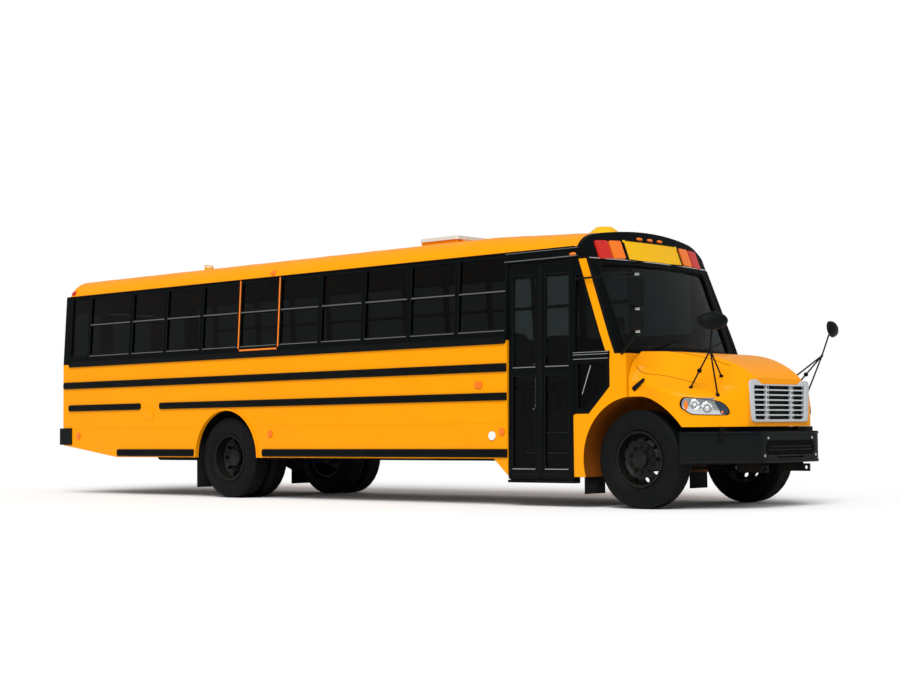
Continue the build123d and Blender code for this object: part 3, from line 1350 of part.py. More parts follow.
# Hood: lofted shell with fenders, tilting forward. Columns of the section table are
# the place ahead of the front axle, outer half width, fender edge height, shoulder half
# width and height, top half width and height.
HOOD_LOW = 865.0
HOOD_SKIN = 28.0
HOOD_NOSE = 1045.0
HOOD_ROUND = 60.0
FRONT_SECTIONS = (
    (250.0, HALF - 28, 1290.0, 985.0, 1440.0, 700.0, 1675.0),
    (540.0, HALF - 45, 1215.0, 940.0, 1350.0, 600.0, 1630.0),
    (790.0, 985.0, 1165.0, 820.0, 1310.0, 520.0, 1545.0),
    (HOOD_NOSE - 75, 755.0, 1135.0, 690.0, 1290.0, 470.0, 1440.0),
    (HOOD_NOSE, 620.0, 1100.0, 600.0, 1270.0, 440.0, 1375.0),
)
COWL_SECTION = (HOOD_REAR - FRONT_AXLE, HALF - 25, 1400.0, 1125.0, 1560.0, 950.0, COWL_TOP + 25)


def hood_section(row, inset):
    """Closed hood section, inset on the outside and open below."""
    forward, outer, edge_z, mid, mid_z, top, top_z = row
    low = HOOD_LOW - (60 if inset else 0)
    half = [
        (outer - inset, low),
        (outer - inset, edge_z - inset),
        (mid - inset, mid_z - inset),
        (top - inset, top_z - inset),
    ]
    points = half + [(-y, z) for y, z in reversed(half)]
    with BuildLine() as edge:
        Polyline(*points, close=True)
    face = make_face(edge.edges())
    corners = [v for v in face.vertices() if v.Y > low + 1]
    fillet(corners, HOOD_ROUND)


def hood_volume(inset):
    """Outer or inner space of the hood as a loft through its sections."""
    faces = []
    for row in (COWL_SECTION,) + FRONT_SECTIONS:
        place = FRONT_AXLE + row[0]
        if inset and row[0] == HOOD_NOSE:
            place -= inset
        with BuildSketch(Plane.YZ.offset(place)) as section:
            hood_section(row, inset)
        faces.append(section.sketch.face())
    loft(faces)


with BuildPart() as hood_outer:
    hood_volume(0)
with BuildPart() as hood_inner:
    hood_volume(HOOD_SKIN)

LAMP_HALF = 250.0
LAMP_HIGH = 165.0
LAMP_Z = 1085.0
LAMP_AHEAD = 780.0
LAMP_Y = 960.0
GRILLE_TOP = 1335.0
GRILLE_LOW = 935.0
GRILLE_TOP_HALF = 560.0
GRILLE_LOW_HALF = 525.0
GRILLE_SKIN = 45.0


def lamp_plane(side):
    """Plane across a swept front corner, facing outward."""
    place = (FRONT_AXLE + LAMP_AHEAD, side * LAMP_Y, LAMP_Z)
    return Plane(origin=place, x_dir=(-1, side, 0), z_dir=(1, side, 0))


def lamp_outline(shrink=0.0):
    """Teardrop outline of a headlight."""
    with Locations((30, 0)):
        SlotOverall(2 * LAMP_HALF - 2 * shrink, LAMP_HIGH - 2 * shrink)


def grille_outline(shrink=0.0):
    """Tapered outline of the grille in front view."""
    with BuildLine() as edge:
        Polyline(
            (-GRILLE_LOW_HALF + shrink, GRILLE_LOW + shrink),
            (GRILLE_LOW_HALF - shrink, GRILLE_LOW + shrink),
            (GRILLE_TOP_HALF - shrink, GRILLE_TOP - shrink),
            (-GRILLE_TOP_HALF + shrink, GRILLE_TOP - shrink),
            close=True,
        )
    face = make_face(edge.edges())
    fillet(face.vertices(), 60 - shrink)


with BuildPart() as hood_shell:
    add(hood_outer.part)
    add(hood_inner.part, mode=Mode.SUBTRACT)
    with Locations((FRONT_AXLE, 0, AXLE_Z)):
        Cylinder(FRONT_ARCH_RADIUS, 2 * BODY_WIDTH, rotation=(90, 0, 0), mode=Mode.SUBTRACT)
    for side in (1, -1):
        with BuildSketch(lamp_plane(side)) as lamp:
            lamp_outline()
        extrude(lamp.sketch, amount=260, both=True, mode=Mode.SUBTRACT)
    with BuildSketch(Plane.YZ.offset(FRONT_AXLE + HOOD_NOSE + 20)) as hole:
        grille_outline()
    extrude(hole.sketch, amount=-150, mode=Mode.SUBTRACT)
    for side in (1, -1):
        with BuildSketch(Plane.XZ.offset(-side * HOOD_HINGE_Y)) as ear:
            with BuildLine():
                Polyline(
                    (FRONT_AXLE + HINGE_AHEAD - 26, HOOD_HINGE_Z - 20),
                    (FRONT_AXLE + HINGE_AHEAD + 26, HOOD_HINGE_Z - 20),
                    (FRONT_AXLE + HOOD_NOSE - 5, HOOD_LOW + 10),
                    (FRONT_AXLE + HOOD_NOSE - 5, HOOD_LOW + 50),
                    (FRONT_AXLE + HINGE_AHEAD - 26, HOOD_LOW + 50),
                    close=True,
                )
            make_face()
            with Locations((FRONT_AXLE + HINGE_AHEAD, HOOD_HINGE_Z)):
                Circle(PIN_RADIUS + RUNNING_GAP, mode=Mode.SUBTRACT)
        extrude(ear.sketch, amount=-side * EAR_SKIN)
write(hood_shell.part, "hood_shell")

with BuildPart() as headlights:
    add(hood_outer.part)
    add(hood_inner.part, mode=Mode.SUBTRACT)
    with BuildSketch(lamp_plane(1)) as left_lamp:
        lamp_outline(RUNNING_GAP)
    with BuildSketch(lamp_plane(-1)) as right_lamp:
        lamp_outline(RUNNING_GAP)
    lamps = extrude(left_lamp.sketch, amount=260, both=True, mode=Mode.PRIVATE)
    lamps += extrude(right_lamp.sketch, amount=260, both=True, mode=Mode.PRIVATE)
    add(lamps, mode=Mode.INTERSECT)
write(headlights.part, "headlights")

# Grille: a tapered frame with cross bars and two upright bars
GRILLE_BARS = 6
with BuildPart() as grille:
    with BuildSketch(Plane.YZ.offset(FRONT_AXLE + HOOD_NOSE + 12)) as frame_face:
        grille_outline(RUNNING_GAP)
    extrude(frame_face.sketch, amount=-GRILLE_SKIN)
    with BuildSketch(Plane.YZ.offset(FRONT_AXLE + HOOD_NOSE + 12)) as slots:
        pitch = (GRILLE_TOP - GRILLE_LOW - 90) / (GRILLE_BARS + 1)
        for i in range(GRILLE_BARS + 1):
            z = GRILLE_LOW + 45 + (i + 0.5) * pitch
            for y, width in ((-375, 190.0), (0, 420.0), (375, 190.0)):
                with Locations((y, z)):
                    RectangleRounded(width, pitch - 14, 6)
    extrude(slots.sketch, amount=-GRILLE_SKIN, mode=Mode.SUBTRACT)
write(grille.part, "grille")

# Cross-view mirrors on three-legged stands at the front fenders
VIEW_HEAD = (1000.0, HALF - 33.0, 1951.0)
VIEW_APEX = (922.0, HALF - 101.0, 1655.0)
VIEW_FEET = ((560.0, 1000.0, 1230.0), (840.0, 860.0, 1150.0), (760.0, 640.0, 1350.0))
with BuildPart() as hood_mirrors:
    for side in (1, -1):
        head = (FRONT_AXLE + VIEW_HEAD[0], side * VIEW_HEAD[1], VIEW_HEAD[2])
        apex = (FRONT_AXLE + VIEW_APEX[0], side * VIEW_APEX[1], VIEW_APEX[2])
        for ahead, y, z in VIEW_FEET:
            rod(apex, (FRONT_AXLE + ahead, side * y, z), 9)
        rod(apex, head, 9)
        with Locations(apex):
            Sphere(16)
        with BuildSketch(Plane(origin=head, x_dir=(0, 1, 0), z_dir=(1, 0, 0.35))) as rim_face:
            Ellipse(165, 95)
        with BuildSketch(Plane(origin=head, x_dir=(0, 1, 0), z_dir=(1, 0, 0.35)).offset(45)) as mid_face:
            Ellipse(140, 78)
        with BuildSketch(Plane(origin=head, x_dir=(0, 1, 0), z_dir=(1, 0, 0.35)).offset(75)) as top_face:
            Ellipse(75, 40)
        loft([rim_face.sketch.face(), mid_face.sketch.face(), top_face.sketch.face()])
    add(hood_outer.part, mode=Mode.SUBTRACT)
write(hood_mirrors.part, "hood_mirrors")

# Entrance door: two leaves in one leaning plane, each turning on pins at its outer edge
DOOR_BOTTOM = STEP_LOW - STEP_SKIN - 25.0
LEAF_SKIN = 35.0
LEAF_STILE = 65.0
PIVOT_INSET = 25.0
PIVOT_RADIUS = 10.0
PIVOT_REACH = 22.0
MEETING_GAP = 6.0
LEAF_ROWS = ((DOOR_BOTTOM + 120.0, 1450.0), (1560.0, DOOR_TOP - 130.0))
DOOR_LEAN = atan((BAND_LEAN * (DOOR_TOP - SILL) / (EAVE - SILL)) / (DOOR_TOP - DOOR_BOTTOM))
DOOR_UP = Vector(0, sin(DOOR_LEAN), cos(DOOR_LEAN))
DOOR_OUT = Vector(0, -cos(DOOR_LEAN), sin(DOOR_LEAN))
DOOR_PLANE = Plane(origin=(DOOR_REAR, -HALF, DOOR_BOTTOM), x_dir=(1, 0, 0), z_dir=DOOR_OUT)
LEAF_WIDTH = (DOOR_WIDTH - 2 * LEAF_GAP - MEETING_GAP) / 2
LEAF_HEIGHT = (DOOR_TOP - DOOR_BOTTOM) / cos(DOOR_LEAN)
# Columns: name, near edge of the leaf from the rear of the doorway, pivot from the same
LEAVES = (
    ("rear", LEAF_GAP, LEAF_GAP + PIVOT_INSET),
    ("front", LEAF_GAP + LEAF_WIDTH + MEETING_GAP, DOOR_WIDTH - LEAF_GAP - PIVOT_INSET),
)


def leaf_panes(start, shrink=0.0):
    """Two panes of a door leaf, in the door's own plane."""
    for low, high in LEAF_ROWS:
        with Locations((start + LEAF_WIDTH / 2, (low + high) / 2 - DOOR_BOTTOM)):
            wide = LEAF_WIDTH - 2 * LEAF_STILE - 2 * shrink
            RectangleRounded(wide, high - low - 2 * shrink, PANE_ROUND - shrink)


def pivot_base(pivot):
    """Point on a leaf's turning axis at the bottom of the leaf."""
    return DOOR_PLANE.from_local_coords((pivot, 0, -LEAF_SKIN / 2))


for name, start, pivot in LEAVES:
    with BuildPart() as leaf:
        with BuildSketch(DOOR_PLANE) as outline:
            with Locations((start + LEAF_WIDTH / 2, LEAF_HEIGHT / 2)):
                Rectangle(LEAF_WIDTH, LEAF_HEIGHT)
            for low, high in LEAF_ROWS:
                with Locations((start + LEAF_WIDTH / 2, (low + high) / 2 - DOOR_BOTTOM)):
                    RectangleRounded(LEAF_WIDTH - 2 * LEAF_STILE, high - low, PANE_ROUND, mode=Mode.SUBTRACT)
        extrude(outline.sketch, amount=-LEAF_SKIN)
        base = pivot_base(pivot)
        rod(base - DOOR_UP * PIVOT_REACH, base + DOOR_UP * (LEAF_HEIGHT + PIVOT_REACH), PIVOT_RADIUS)
    write(leaf.part, f"door_{name}_leaf")
    with BuildPart() as leaf_glass:
        with BuildSketch(DOOR_PLANE.offset(-LEAF_SKIN / 2 + PANE_SKIN / 2)) as panes:
            leaf_panes(start, RUNNING_GAP)
        extrude(panes.sketch, amount=-PANE_SKIN)
    write(leaf_glass.part, f"door_{name}_glass")

# Door frame: head and sill with the pin sockets
SILL_FOOT = 60.0
with BuildPart() as door_frame:
    with BuildSketch(DOOR_PLANE) as ring:
        with Locations((DOOR_WIDTH / 2, LEAF_HEIGHT / 2)):
            Rectangle(DOOR_WIDTH, LEAF_HEIGHT + 2 * DOOR_HEAD)
            Rectangle(DOOR_WIDTH, LEAF_HEIGHT + 2 * LEAF_GAP, mode=Mode.SUBTRACT)
    extrude(ring.sketch, amount=-LEAF_SKIN)
    bar(
        (DOOR_REAR, -HALF + LEAF_SKIN - 2, DOOR_BOTTOM - DOOR_HEAD),
        (DOOR_FRONT, -INSIDE + SILL_FOOT, DOOR_BOTTOM - LEAF_GAP),
    )
    bar(
        (DOOR_REAR, -INSIDE + 10, DOOR_BOTTOM - DOOR_HEAD),
        (DOOR_FRONT, -INSIDE + SILL_FOOT, STEP_LOW - STEP_SKIN),
    )
    for name, start, pivot in LEAVES:
        base = pivot_base(pivot)
        with BuildSketch(Plane(origin=base - DOOR_UP * 100, z_dir=DOOR_UP)) as socket:
            Circle(PIVOT_RADIUS + RUNNING_GAP)
        extrude(socket.sketch, amount=LEAF_HEIGHT + 200, mode=Mode.SUBTRACT)
write(door_frame.part, "door_frame")

# Side mirrors: a flat and a convex head on tube arms, the driver's beside the side window
MIRROR_AHEAD = 190.0
DRIVER_MIRROR_BACK = 875.0
MIRROR_ROOT = (DOOR_FRONT + 22.0, 2500.0)
MIRROR_FEET = {
    1: (DOOR_FRONT + 22.0, HALF - 2.0, SILL - 60.0),
    -1: (COWL_FRONT - 60.0, 2.0 - HALF, COWL_TOP - 10.0),
}
MIRROR_Y = HALF + 150.0
MIRROR_TUBE = 11.0
with BuildPart() as side_mirrors:
    for side, post_x in ((1, FRONT_AXLE - DRIVER_MIRROR_BACK), (-1, FRONT_AXLE + MIRROR_AHEAD)):
        post_y = side * MIRROR_Y
        root = (MIRROR_ROOT[0], side * (skin_y(MIRROR_ROOT[1]) - 2), MIRROR_ROOT[1])
        rod(root, (post_x, post_y, 2490), MIRROR_TUBE)
        rod((post_x, post_y, 2500), (post_x, post_y, 1860), MIRROR_TUBE)
        rod((post_x, post_y, 1870), MIRROR_FEET[side], MIRROR_TUBE)
        for low, high, half in ((2130.0, 2450.0, 105.0), (1890.0, 2090.0, 100.0)):
            with BuildSketch(Plane.YZ.offset(post_x - 50)) as head:
                with Locations((post_y, (low + high) / 2)):
                    RectangleRounded(2 * half, high - low, 45)
            extrude(head.sketch, amount=70, taper=8)
    for side in (1, -1):
        side_slab(side, 0, PILLAR_SKIN, mode=Mode.SUBTRACT)
write(side_mirrors.part, "side_mirrors")

# Lamps: columns are the place on the front cap, half width, bottom and top
CAP_LAMP_LOW = CAP_BOTTOM + 30.0
CAP_LAMP_HIGH = CAP_BOTTOM + 235.0
SIGN_HALF = 525.0
LAMP_PROUD = 22.0
LAMP_HALF_WIDTH = 95.0
INNER_LAMP_Y = SIGN_HALF + 40.0 + LAMP_HALF_WIDTH
OUTER_LAMP_Y = INNER_LAMP_Y + 2 * LAMP_HALF_WIDTH + 25.0
MARKER_RADIUS = 50.0
MARKER_PROUD = 16.0
# Round side reflectors: places behind the front axle
REFLECTOR_SETBACKS = (1829.0, 5755.0, 9916.0)
REFLECTOR_Z = 837.0


def cap_lamps(y):
    """Pair of warning lamps in the skin of the front cap."""
    with BuildPart() as pair:
        front_skin(-LAMP_PROUD, 0)
        with BuildSketch(FRONT_FACE) as outlines:
            for side in (1, -1):
                on_front(LAMP_HALF_WIDTH, CAP_LAMP_LOW, CAP_LAMP_HIGH, 20, side * y)
        extrude(outlines.sketch, amount=600, both=True, mode=Mode.INTERSECT)
    return pair.part


RED_FRONT = cap_lamps(OUTER_LAMP_Y)
AMBER_FRONT = cap_lamps(INNER_LAMP_Y)
with BuildPart() as red_lamps:
    add(RED_FRONT)
    with BuildSketch(BACK) as round_lamps:
        for side in (1, -1):
            with Locations((side * OUTER_LAMP_Y, 2750)):
                Circle(85)
            with Locations((side * (HALF - 190), 1330)):
                Circle(88)
            with Locations((side * (HALF - 190), 1130)):
                Circle(50)
    extrude(round_lamps.sketch, amount=-LAMP_PROUD)
write(red_lamps.part, "red_lamps")

with BuildPart() as amber_lamps:
    add(AMBER_FRONT)
    with BuildSketch(BACK) as round_lamps:
        for side in (1, -1):
            with Locations((side * INNER_LAMP_Y, 2750)):
                Circle(85)
            with Locations((side * (HALF - 420), 1330)):
                Circle(88)
    extrude(round_lamps.sketch, amount=-LAMP_PROUD)
    for side in (1, -1):
        with BuildSketch(Plane.XZ.offset(-side * HALF)) as reflectors:
            for setback in REFLECTOR_SETBACKS:
                with Locations((at_front(setback), REFLECTOR_Z)):
                    Circle(MARKER_RADIUS - 8)
            with Locations((at_front(2175), 1373)):
                RectangleRounded(110, 70, 20)
        extrude(reflectors.sketch, amount=-side * MARKER_PROUD)
write(amber_lamps.part, "amber_lamps")

with BuildPart() as clear_lamps:
    with BuildSketch(BACK) as round_lamps:
        for side in (1, -1):
            with Locations((side * (HALF - 420), 1130)):
                Circle(50)
    extrude(round_lamps.sketch, amount=-LAMP_PROUD)
    for side in (1, -1):
        with BuildSketch(Plane.XZ.offset(-side * HALF)) as round_lamp:
            with Locations((at_front(1974), 790)):
                Circle(MARKER_RADIUS)
        extrude(round_lamp.sketch, amount=-side * MARKER_PROUD)
write(clear_lamps.part, "clear_lamps")

# Blank sign plate in the middle of the front cap
with BuildPart() as sign_panel:
    front_skin(-14, 0)
    with BuildSketch(FRONT_FACE) as outline:
        on_front(SIGN_HALF, CAP_BOTTOM + 15, CAP_BOTTOM + 250, 15)
    extrude(outline.sketch, amount=600, both=True, mode=Mode.INTERSECT)
write(sign_panel.part, "sign_panel")

# Roof fittings: a low vent dome near the front and a guarded strobe near the rear
VENT_X = at_front(1270.0)
STROBE_X = at_front(8450.0)
VENT_RADIUS = 220.0
VENT_RISE = 45.0
STROBE_RADIUS = 55.0
STROBE_RISE = 90.0
GUARD_HALF = 75.0
GUARD_TUBE = 7.0
GUARD_TOP = CROWN + 115.0
with BuildPart() as roof_fittings:
    with BuildSketch(Plane.XZ) as profile:
        with BuildLine():
            foot = (VENT_X + VENT_RADIUS, CROWN - 2 * ROOF_DROOP)
            brim = (VENT_X + VENT_RADIUS, CROWN - ROOF_DROOP)
            Polyline((VENT_X, CROWN - 2 * ROOF_DROOP), foot, brim)
            ThreePointArc(
                brim,
                (VENT_X + VENT_RADIUS * 0.72, CROWN - VENT_RISE * 0.15),
                (VENT_X + VENT_RADIUS * 0.4, CROWN + VENT_RISE),
            )
            Polyline(
                (VENT_X + VENT_RADIUS * 0.4, CROWN + VENT_RISE),
                (VENT_X, CROWN + VENT_RISE),
                (VENT_X, CROWN - 2 * ROOF_DROOP),
            )
        make_face()
    revolve(profile.sketch, axis=Axis((VENT_X, 0, 0), (0, 0, 1)))
    rod((STROBE_X, 0, CROWN - ROOF_SKIN), (STROBE_X, 0, CROWN + STROBE_RISE), STROBE_RADIUS)
    for y in (-GUARD_HALF, GUARD_HALF):
        rod((STROBE_X, y, CROWN - ROOF_SKIN), (STROBE_X, y, GUARD_TOP), GUARD_TUBE)
    rod((STROBE_X, -GUARD_HALF, GUARD_TOP), (STROBE_X, GUARD_HALF, GUARD_TOP), GUARD_TUBE)
    roof_volume(0, mode=Mode.SUBTRACT)
write(roof_fittings.part, "roof_fittings")

# Mud flaps behind all the wheels
FLAP_SKIN = 12.0
with BuildPart() as mud_flaps:
    for side in (1, -1):
        bar(
            (at_front(FRONT_ARCH_RADIUS + SPLASH_SKIN), side * 820, 150),
            (at_front(FRONT_ARCH_RADIUS + SPLASH_SKIN - FLAP_SKIN), side * INSIDE, POST_BOTTOM),
        )
        bar(
            (REAR_AXLE - HOUSING_HALF - HOUSING_SKIN, side * HOUSING_INNER, 130),
            (REAR_AXLE - HOUSING_HALF - HOUSING_SKIN + FLAP_SKIN, side * INSIDE, RAIL_TOP),
        )
write(mud_flaps.part, "mud_flaps")

# Stop arm on the left side: a blank octagon plate that swings out
ARM_X = DOOR_REAR - 60.0
ARM_PLATE_Z = 1400.0
ARM_STANDOFF = RAIL_PROUD + 12.0
ARM_SKIN = 12.0
ARM_RADIUS = 230.0
ARM_PIN = 8.0
with BuildPart() as stop_arm:
    with BuildSketch(Plane.XZ.offset(-HALF - ARM_STANDOFF)) as plate:
        with Locations((ARM_X - ARM_RADIUS - 60, ARM_PLATE_Z)):
            RegularPolygon(ARM_RADIUS, 8, rotation=22.5)
        with Locations((ARM_X - 60, ARM_PLATE_Z)):
            Rectangle(120, 90)
    extrude(plate.sketch, amount=-ARM_SKIN)
    with Locations((ARM_X, HALF + ARM_STANDOFF, ARM_PLATE_Z)):
        Cylinder(20, 90)
        Cylinder(ARM_PIN + RUNNING_GAP, 90, mode=Mode.SUBTRACT)
write(stop_arm.part, "stop_arm")
with BuildPart() as stop_arm_bracket:
    for up in (1, -1):
        near = ARM_PLATE_Z + up * (45 + RUNNING_GAP)
        bar((ARM_X - 22, HALF, near), (ARM_X + 22, HALF + ARM_STANDOFF + 22, near + up * 22))
    pin_y = HALF + ARM_STANDOFF
    rod((ARM_X, pin_y, ARM_PLATE_Z - 60), (ARM_X, pin_y, ARM_PLATE_Z + 60), ARM_PIN)
write(stop_arm_bracket.part, "stop_arm_bracket")
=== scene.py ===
"""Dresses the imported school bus: its finishes, and the small pieces that the solids leave out."""

import json
import logging
import math
from contextlib import contextmanager
from dataclasses import dataclass, field
from enum import Enum
from typing import Iterable, Iterator, Sequence, Union

import bmesh
import bpy
from mathutils import Matrix, Vector
from mathutils.bvhtree import BVHTree

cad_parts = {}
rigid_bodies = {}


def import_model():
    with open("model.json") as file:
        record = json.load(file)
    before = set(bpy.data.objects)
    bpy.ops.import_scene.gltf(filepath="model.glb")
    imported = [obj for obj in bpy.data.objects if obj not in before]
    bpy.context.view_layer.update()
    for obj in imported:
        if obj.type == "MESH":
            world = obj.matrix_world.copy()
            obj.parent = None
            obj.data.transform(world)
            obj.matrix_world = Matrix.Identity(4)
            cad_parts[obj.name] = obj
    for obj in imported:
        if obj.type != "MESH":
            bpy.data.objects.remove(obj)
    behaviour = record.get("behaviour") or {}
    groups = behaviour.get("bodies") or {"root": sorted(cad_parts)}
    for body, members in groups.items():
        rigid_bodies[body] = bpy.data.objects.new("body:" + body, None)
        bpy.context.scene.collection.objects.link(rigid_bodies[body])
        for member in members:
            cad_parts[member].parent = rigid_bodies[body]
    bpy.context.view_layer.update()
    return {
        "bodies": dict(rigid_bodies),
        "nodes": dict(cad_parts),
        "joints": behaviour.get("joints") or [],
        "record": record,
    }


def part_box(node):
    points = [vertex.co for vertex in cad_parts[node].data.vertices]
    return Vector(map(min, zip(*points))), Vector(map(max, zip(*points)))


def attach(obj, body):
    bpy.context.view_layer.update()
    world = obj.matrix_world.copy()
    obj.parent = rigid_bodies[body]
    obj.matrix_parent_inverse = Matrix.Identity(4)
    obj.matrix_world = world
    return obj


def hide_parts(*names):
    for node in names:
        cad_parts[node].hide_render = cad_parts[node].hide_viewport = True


LOG = logging.getLogger("school_bus")

Point = Sequence[float]
Colour = tuple[float, float, float]
Number = Union[int, float]
Outline = list[tuple[float, float]]

AHEAD, ASTERN = (1, 0, 0), (-1, 0, 0)
LEFTWARD = (0, 1, 0)
UP, DOWN = (0, 0, 1), (0, 0, -1)


class Body(str, Enum):
    """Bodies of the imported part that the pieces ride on."""

    CHASSIS = "chassis"
    HOOD = "hood"
    REAR_LEAF = "rear_leaf"
    FRONT_LEAF = "front_leaf"
    EXIT_DOOR = "exit_door"
    HATCH = "hatch_lid"
    FRONT_LEFT = "front_left_wheel"
    FRONT_RIGHT = "front_right_wheel"
    REAR_LEFT = "rear_left_wheels"
    REAR_RIGHT = "rear_right_wheels"


class Side(Enum):
    """Sides of the bus, valued by the sign of their Y."""

    LEFT = 1
    RIGHT = -1


SIDES = tuple(side.value for side in Side)


def linear(red: int, green: int, blue: int) -> Colour:
    """Turn a screen colour into the linear one that a shader takes.

    Args:
        red: Red from 0 to 255.
        green: Green from 0 to 255.
        blue: Blue from 0 to 255.

    Returns:
        The same colour in linear light.
    """

    def channel(value: int) -> float:
        """Undo the screen curve of one channel."""
        share = value / 255
        return share / 12.92 if share <= 0.04045 else ((share + 0.055) / 1.055) ** 2.4

    return channel(red), channel(green), channel(blue)


class Wire:
    """A shader socket that takes part in Python arithmetic."""

    def __init__(self, sheet: "Sheet", socket: bpy.types.NodeSocket) -> None:
        """Keep the socket and the sheet that it is drawn on."""
        self.sheet = sheet
        self.socket = socket

    def _maths(self, operation: str, first: "Wire | Number", second: "Wire | Number") -> "Wire":
        """Add one Math node and return its result."""
        return self.sheet.node("ShaderNodeMath", {"operation": operation}, {0: first, 1: second})

    def __add__(self, other: "Wire | Number") -> "Wire":
        """Sum."""
        return self._maths("ADD", self, other)

    __radd__ = __add__

    def __sub__(self, other: "Wire | Number") -> "Wire":
        """Difference."""
        return self._maths("SUBTRACT", self, other)

    def __rsub__(self, other: Number) -> "Wire":
        """Difference from a number."""
        return self._maths("SUBTRACT", other, self)

    def __mul__(self, other: "Wire | Number") -> "Wire":
        """Product."""
        return self._maths("MULTIPLY", self, other)

    def __truediv__(self, other: "Wire | Number") -> "Wire":
        """Quotient."""
        return self._maths("DIVIDE", self, other)

    def clamp(self, low: float = 0.0, high: float = 1.0) -> "Wire":
        """Hold the value between two limits."""
        return self.sheet.node("ShaderNodeClamp", {}, {"Value": self, "Min": low, "Max": high})


class Sheet:
    """Node sheet of one material, or of the surround, around its shader."""

    SHADERS = ("BSDF_PRINCIPLED", "BACKGROUND")

    def __init__(self, owner: "bpy.types.Material | bpy.types.World") -> None:
        """Start from the shader that a new owner comes with."""
        self.owner = owner
        owner.use_nodes = True
        self.tree = owner.node_tree
        self.shader = next(node for node in self.tree.nodes if node.type in self.SHADERS)

    def node(
        self,
        kind: str,
        settings: "dict | None" = None,
        sockets: "dict | None" = None,
        output: "int | str" = 0,
    ) -> Wire:
        """Create a node of any kind.

        Args:
            kind: Type of the node.
            settings: Properties that are set first.
            sockets: Values or wires for its inputs, by name or number.
            output: Which result to return.

        Returns:
            The chosen output as a wire.
        """
        made = self.tree.nodes.new(kind)
        for key, value in (settings or {}).items():
            setattr(made, key, value)
        for key, value in (sockets or {}).items():
            self._feed(made.inputs[key], value)
        return Wire(self, made.outputs[output])

    def _feed(self, socket: bpy.types.NodeSocket, value: "Wire | Number | Point") -> None:
        """Link a wire into a socket, or set its plain value."""
        if isinstance(value, Wire):
            self.tree.links.new(value.socket, socket)
        elif socket.type == "RGBA" and len(value) == 3:
            socket.default_value = (*value, 1.0)
        else:
            socket.default_value = value

    def place(self) -> Wire:
        """Position on the object, in the frame of the bus."""
        return self.node("ShaderNodeTexCoord", {}, {}, "Object")

    def axis(self, name: str) -> Wire:
        """One coordinate of the position, X, Y or Z."""
        return self.node("ShaderNodeSeparateXYZ", {}, {"Vector": self.place()}, name)

    def noise(self, scale: float, detail: float) -> Wire:
        """Cloudy value from 0 to 1 at a scale in waves a metre."""
        sockets = {"Vector": self.place(), "Scale": scale, "Detail": detail, "Roughness": 0.55}
        return self.node("ShaderNodeTexNoise", {}, sockets)

    def ramp(self, value: Wire, low: float, high: float) -> Wire:
        """Stretch a value so that low becomes 0 and high becomes 1."""
        return ((value - low) / (high - low)).clamp()

    def blend(self, factor: "Wire | float", first: "Wire | Colour", second: "Wire | Colour") -> Wire:
        """Mix two colours."""
        settings = {"data_type": "RGBA", "blend_type": "MIX"}
        return self.node("ShaderNodeMix", settings, {0: factor, 6: first, 7: second}, 2)

    def bump(self, height: Wire, strength: float, distance: float) -> None:
        """Feed a height to the shader's normal."""
        sockets = {"Strength": strength, "Distance": distance, "Height": height}
        self.use("Normal", self.node("ShaderNodeBump", {}, sockets))

    def use(self, socket: str, value: "Wire | Number | Point") -> None:
        """Set or link one input of the shader."""
        self._feed(self.shader.inputs[socket], value)


@dataclass(frozen=True)
class Finish:
    """What every finish has.

    Attributes:
        name: Name of the material.
    """

    name: str

    def draw(self, sheet: Sheet) -> None:
        """Draw the finish on its sheet."""
        raise NotImplementedError

    def build(self) -> bpy.types.Material:
        """Return the finished material."""
        sheet = Sheet(bpy.data.materials.new(self.name))
        self.draw(sheet)
        return sheet.owner


@dataclass(frozen=True)
class Paint(Finish):
    """Sprayed enamel with slight orange peel, road film low down and soft wear.

    Attributes:
        colour: Colour of the clean paint.
        shade: Colour that the paint drifts towards.
        roughness: Gloss of the clean paint.
        coat: Weight of the clear coat.
        film: Strength of the road film near the ground.
        shine: Strength of the plain reflection.
    """

    colour: Colour
    shade: Colour
    roughness: float
    coat: float
    film: float
    shine: float = 0.4

    def draw(self, sheet: Sheet) -> None:
        """Draw the paint, its film and its peel."""
        drift = sheet.ramp(sheet.noise(1.3, 5.0), 0.35, 0.75)
        low = sheet.ramp(1.0 - sheet.axis("Z"), 0.15, 0.75)
        speck = sheet.ramp(sheet.noise(38.0, 6.0), 0.5, 0.8)
        dust = low * self.film * (0.35 + speck)
        tone = sheet.blend(drift * 0.35, self.colour, self.shade)
        sheet.use("Base Color", sheet.blend(dust.clamp(), tone, linear(110, 96, 78)))
        sheet.use("Roughness", (self.roughness + drift * 0.06 + dust * 0.5).clamp())
        sheet.use("Specular IOR Level", self.shine)
        sheet.use("Coat Weight", self.coat)
        sheet.use("Coat Roughness", 0.06)
        sheet.bump(sheet.noise(420.0, 2.0), 0.05, 0.0006)


@dataclass(frozen=True)
class Moulding(Finish):
    """Moulded plastic or rubber with a fine grain.

    Attributes:
        colour: Main colour.
        shade: Colour of the worn or dusty places.
        roughness: Mean roughness.
        grain: Waves of the grain a metre.
        depth: Height of the grain in metres.
    """

    colour: Colour
    shade: Colour
    roughness: float
    grain: float
    depth: float

    def draw(self, sheet: Sheet) -> None:
        """Draw the moulding and its grain."""
        drift = sheet.ramp(sheet.noise(6.0, 5.0), 0.4, 0.75)
        sheet.use("Base Color", sheet.blend(drift * 0.6, self.colour, self.shade))
        sheet.use("Roughness", (self.roughness + (sheet.noise(24.0, 3.0) - 0.5) * 0.18).clamp())
        sheet.use("Specular IOR Level", 0.06)
        sheet.bump(sheet.noise(self.grain, 3.0), 0.25, self.depth)


